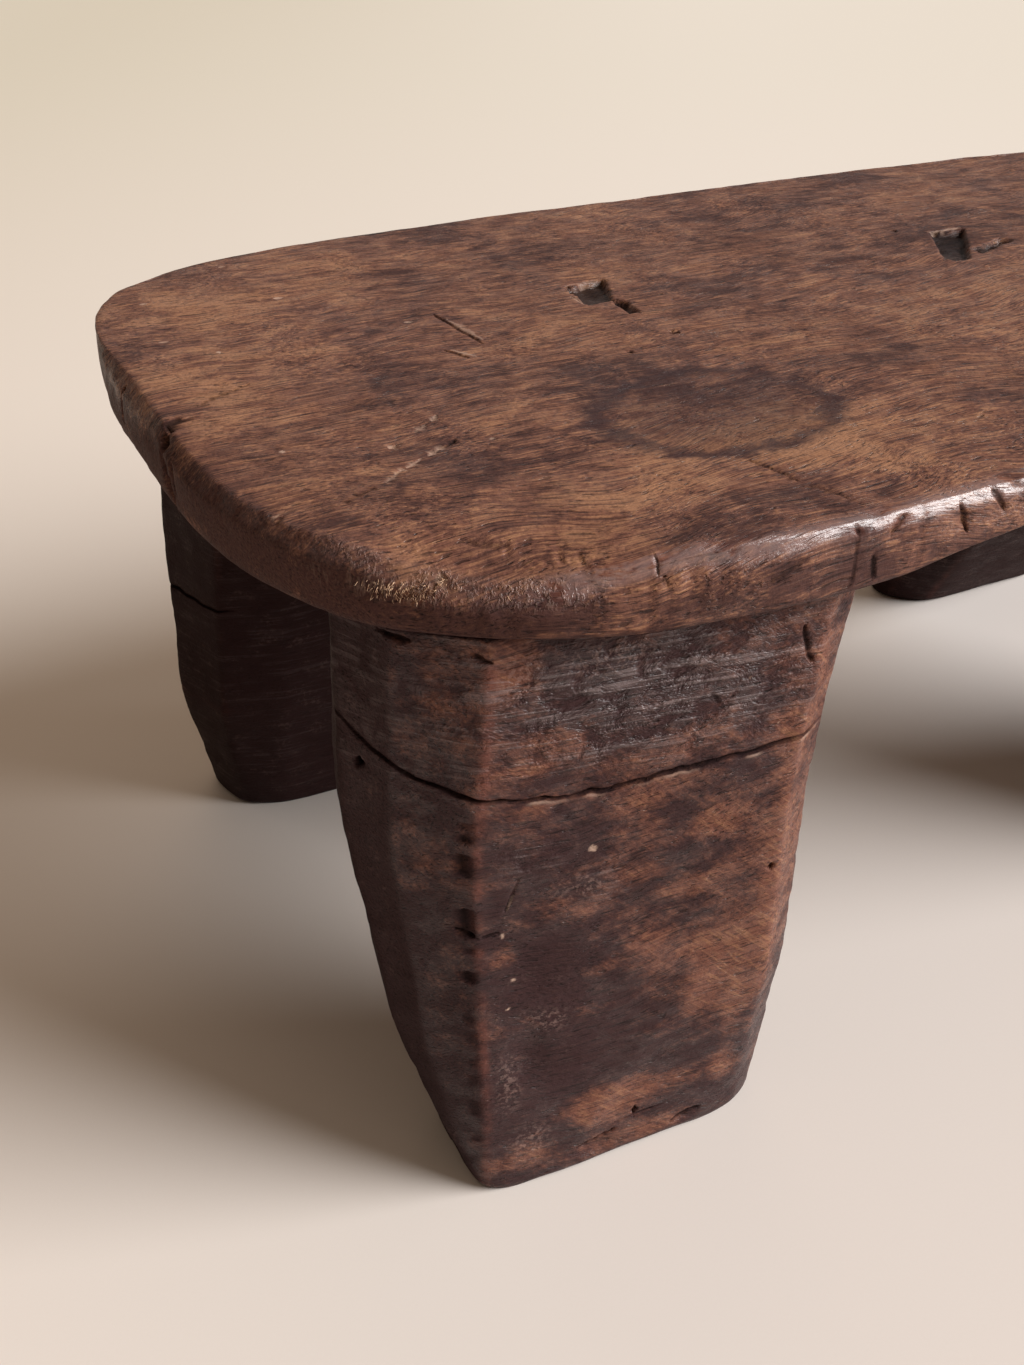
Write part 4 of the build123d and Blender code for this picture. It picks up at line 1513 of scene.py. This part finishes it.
class STOOL_OT_stage(bpy.types.Operator):
    """Set out the floor, the lights and the camera"""

    bl_idname = "stool.stage"
    bl_label = "Stage"

    def execute(self, context):
        scene = context.scene
        settings = scene.stool.stage
        scene.view_settings.view_transform = "Standard"
        self.camera(scene)
        self.key(settings)
        self.world(scene, settings)
        self.floor(settings)
        return {"FINISHED"}

    def camera(self, scene):
        data = bpy.data.cameras.new("camera")
        data.sensor_width = 36
        data.lens = 36.92
        data.clip_start = 0.02
        data.clip_end = 60
        camera = put("camera", data)
        yaw, pitch = CAMERA_YAW, CAMERA_PITCH
        look = Vector((sin(yaw) * cos(pitch), cos(yaw) * cos(pitch), -sin(pitch)))
        camera.location = CAMERA_PLACE
        camera.rotation_euler = look.to_track_quat("-Z", "Y").to_euler()
        scene.camera = camera

    def key(self, settings):
        data = bpy.data.lights.new("key", "SUN")
        data.energy = settings.key
        data.angle = settings.key_size
        data.color = KEY_COLOUR
        put("key", data).rotation_euler = KEY_FROM.to_track_quat("Z", "Y").to_euler()

    def world(self, scene, settings):
        world = bpy.data.worlds.new("studio")
        world.use_nodes = True
        world.node_tree.nodes.clear()
        w = Wiring(world.node_tree)
        path = w.add("ShaderNodeLightPath").outputs
        seen = w.most(path["Is Camera Ray"], path["Is Transmission Ray"])
        way = w.add("ShaderNodeTexCoord").outputs["Generated"]
        height = w.part(way, 2)
        overhead = w.times(w.times(height, height), settings.fill)
        beam = w.math("POWER", w.most(w.vector("DOT_PRODUCT", way, (0.38, 0.82, 0.42)), 0.0), 8.0)
        soft = w.times_plus(beam, settings.side, overhead)
        fill = w.add("ShaderNodeBackground", {"Color": (1.0, 0.77, 0.58, 1), "Strength": soft})
        wall = w.add("ShaderNodeBackground", {"Color": tint(settings.floor), "Strength": 1.0})
        # Gloss shows the pale wall behind the stool and the darker room in front of it.
        behind = w.ramp(w.vector("DOT_PRODUCT", way, (0.62, 0.77, 0.15)), 0.1, 0.95, 0.02, 0.36)
        room = w.add("ShaderNodeBackground", {"Color": (0.84, 0.77, 0.76, 1), "Strength": behind})
        lit = w.add("ShaderNodeMixShader", {0: path["Is Glossy Ray"], 1: fill.outputs[0], 2: room.outputs[0]})
        both = w.add("ShaderNodeMixShader", {0: seen, 1: lit.outputs[0], 2: wall.outputs[0]})
        output = w.add("ShaderNodeOutputWorld")
        w.feed(output.inputs["Surface"], both.outputs[0])
        scene.world = world

    def floor(self, settings):
        mesh = bpy.data.meshes.new("floor")
        corners = [(x * FLOOR_REACH, y * FLOOR_REACH, 0) for x, y in ((-1, -1), (1, -1), (1, 1), (-1, 1))]
        mesh.from_pydata(corners, [], [(0, 1, 2, 3)])
        material = bpy.data.materials.new("floor_paper")
        material.use_nodes = True
        w = Wiring(material.node_tree)
        shader = material.node_tree.nodes["Principled BSDF"]
        position = w.place()
        # Painted shade: the floor's colour darkens towards the left, standing in for the fall of the light.
        across = w.vector("DOT_PRODUCT", position, (0.86, -0.5, 0.0))
        side = w.ramp(across, -1.3, 0.25)
        tooth = w.noise(position, 900.0, 2.0, 0.6)
        pale = tint(settings.floor)
        floor_in_painted_shade = tint([n * m for n, m in zip(settings.floor, (0.84, 0.82, 0.755))])
        colour = w.mix(side, floor_in_painted_shade, pale)
        away = w.ramp(w.vector("DOT_PRODUCT", position, (0.42, 0.9, 0.0)), 0.1, 2.2)
        colour = w.mix(away, colour, w.mix(1.0, colour, (0.955, 0.985, 0.945, 1), "MULTIPLY"))
        colour = w.mix(w.ramp(tooth, 0.3, 0.7, 0.0, 0.02), colour, FLOOR_TOOTH)
        w.feed(shader.inputs["Base Color"], colour)
        shader.inputs["Roughness"].default_value = 0.9
        shader.inputs["Specular IOR Level"].default_value = 0.1
        mesh.materials.append(material)
        floor = put("floor", mesh)


class STOOL_OT_seat(bpy.types.Operator):
    """Make the seat: the worn slab with its chips, checks and mortises"""

    bl_idname = "stool.seat"
    bl_label = "Seat"

    def execute(self, context):
        points, faces, masks = seat_skin(context.scene.stool.seat)
        solid = make_piece("seat_rough", points, faces, masks, woods()["seat"])
        cutter = mortise_cutter()
        cut = solid.modifiers.new("mortises", "BOOLEAN")
        cut.operation = "DIFFERENCE"
        cut.object = cutter
        cut.solver = "EXACT"
        seat = settled(solid, "seat_slab")
        discard(solid, cutter)
        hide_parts("seat")
        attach(seat, "root")
        return {"FINISHED"}


class STOOL_OT_fibres(bpy.types.Operator):
    """Raise the torn fibres along the seat's worn corner"""

    bl_idname = "stool.fibres"
    bl_label = "Torn fibres"

    def execute(self, context):
        settings = context.scene.stool.fibres
        seat = bpy.data.objects["seat_slab"]
        tree = fibre_tree()
        holder = put("fibre_bed", seat.data.copy())
        scatter = holder.modifiers.new("fibres", "NODES")
        scatter.node_group = tree
        sockets = [item for item in tree.interface.items_tree if item.item_type == "SOCKET"]
        names = {item.name: item.identifier for item in sockets}
        values = {"Density": settings.density, "Length": settings.length, "Thickness": settings.thickness,
                  "Seed": FIBRE_SEED, "Material": fibre_wood()}
        for name, value in values.items():
            scatter[names[name]] = value
        fibres = settled(holder, "torn_fibres")
        discard(holder)
        if not fibres.data.polygons:
            raise RuntimeError("No torn fibres were made")
        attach(fibres, "root")
        return {"FINISHED"}


class STOOL_OT_legs(bpy.types.Operator):
    """Make the four legs, each with its drying check, tenon and kerf"""

    bl_idname = "stool.legs"
    bl_label = "Legs"

    def execute(self, context):
        settings = context.scene.stool.legs
        for leg in LEGS:
            spacing = NEAR_SPACING if leg == "front_left" else FAR_SPACING
            points, faces, masks = leg_shell(leg, settings, *spacing)
            piece = make_piece("carved_leg_" + leg, points, faces, masks, woods()["leg"])
            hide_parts("leg_" + leg)
            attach(piece, "root")
        return {"FINISHED"}


class STOOL_OT_wedges(bpy.types.Operator):
    """Give the fox wedges their wood"""

    bl_idname = "stool.wedges"
    bl_label = "Wedges"

    def execute(self, context):
        for leg in LEGS:
            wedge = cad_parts["wedge_" + leg]
            for slot in wedge.material_slots:
                slot.material = woods()["wedge"]
        return {"FINISHED"}


OPERATORS = (STOOL_OT_stage, STOOL_OT_seat, STOOL_OT_fibres, STOOL_OT_legs, STOOL_OT_wedges)
SETTINGS = (SeatSettings, LegSettings, WoodSettings, StageSettings, FibreSettings, StoolSettings)


class STOOL_PT_parts(bpy.types.Panel):
    """Lists the stool's settings and the steps that make it"""

    bl_label = "Stool"
    bl_space_type = "VIEW_3D"
    bl_region_type = "UI"
    bl_category = "Stool"

    def draw(self, context):
        stool = context.scene.stool
        for name in ("seat", "legs", "wood", "stage", "fibres"):
            box = self.layout.box()
            box.label(text=name.capitalize())
            group = getattr(stool, name)
            for setting in group.__annotations__:
                box.prop(group, setting)
        for operator in OPERATORS:
            self.layout.operator(operator.bl_idname)


def register():
    for item in (*SETTINGS, *OPERATORS, STOOL_PT_parts):
        bpy.utils.register_class(item)
    bpy.types.Scene.stool = PointerProperty(type=StoolSettings)


def unregister():
    del bpy.types.Scene.stool
    for item in reversed((*SETTINGS, *OPERATORS, STOOL_PT_parts)):
        bpy.utils.unregister_class(item)


def main():
    register()
    bpy.ops.stool.stage()
    bpy.ops.stool.seat()
    bpy.ops.stool.fibres()
    bpy.ops.stool.legs()
    bpy.ops.stool.wedges()


if __name__ == "__main__":
    main()
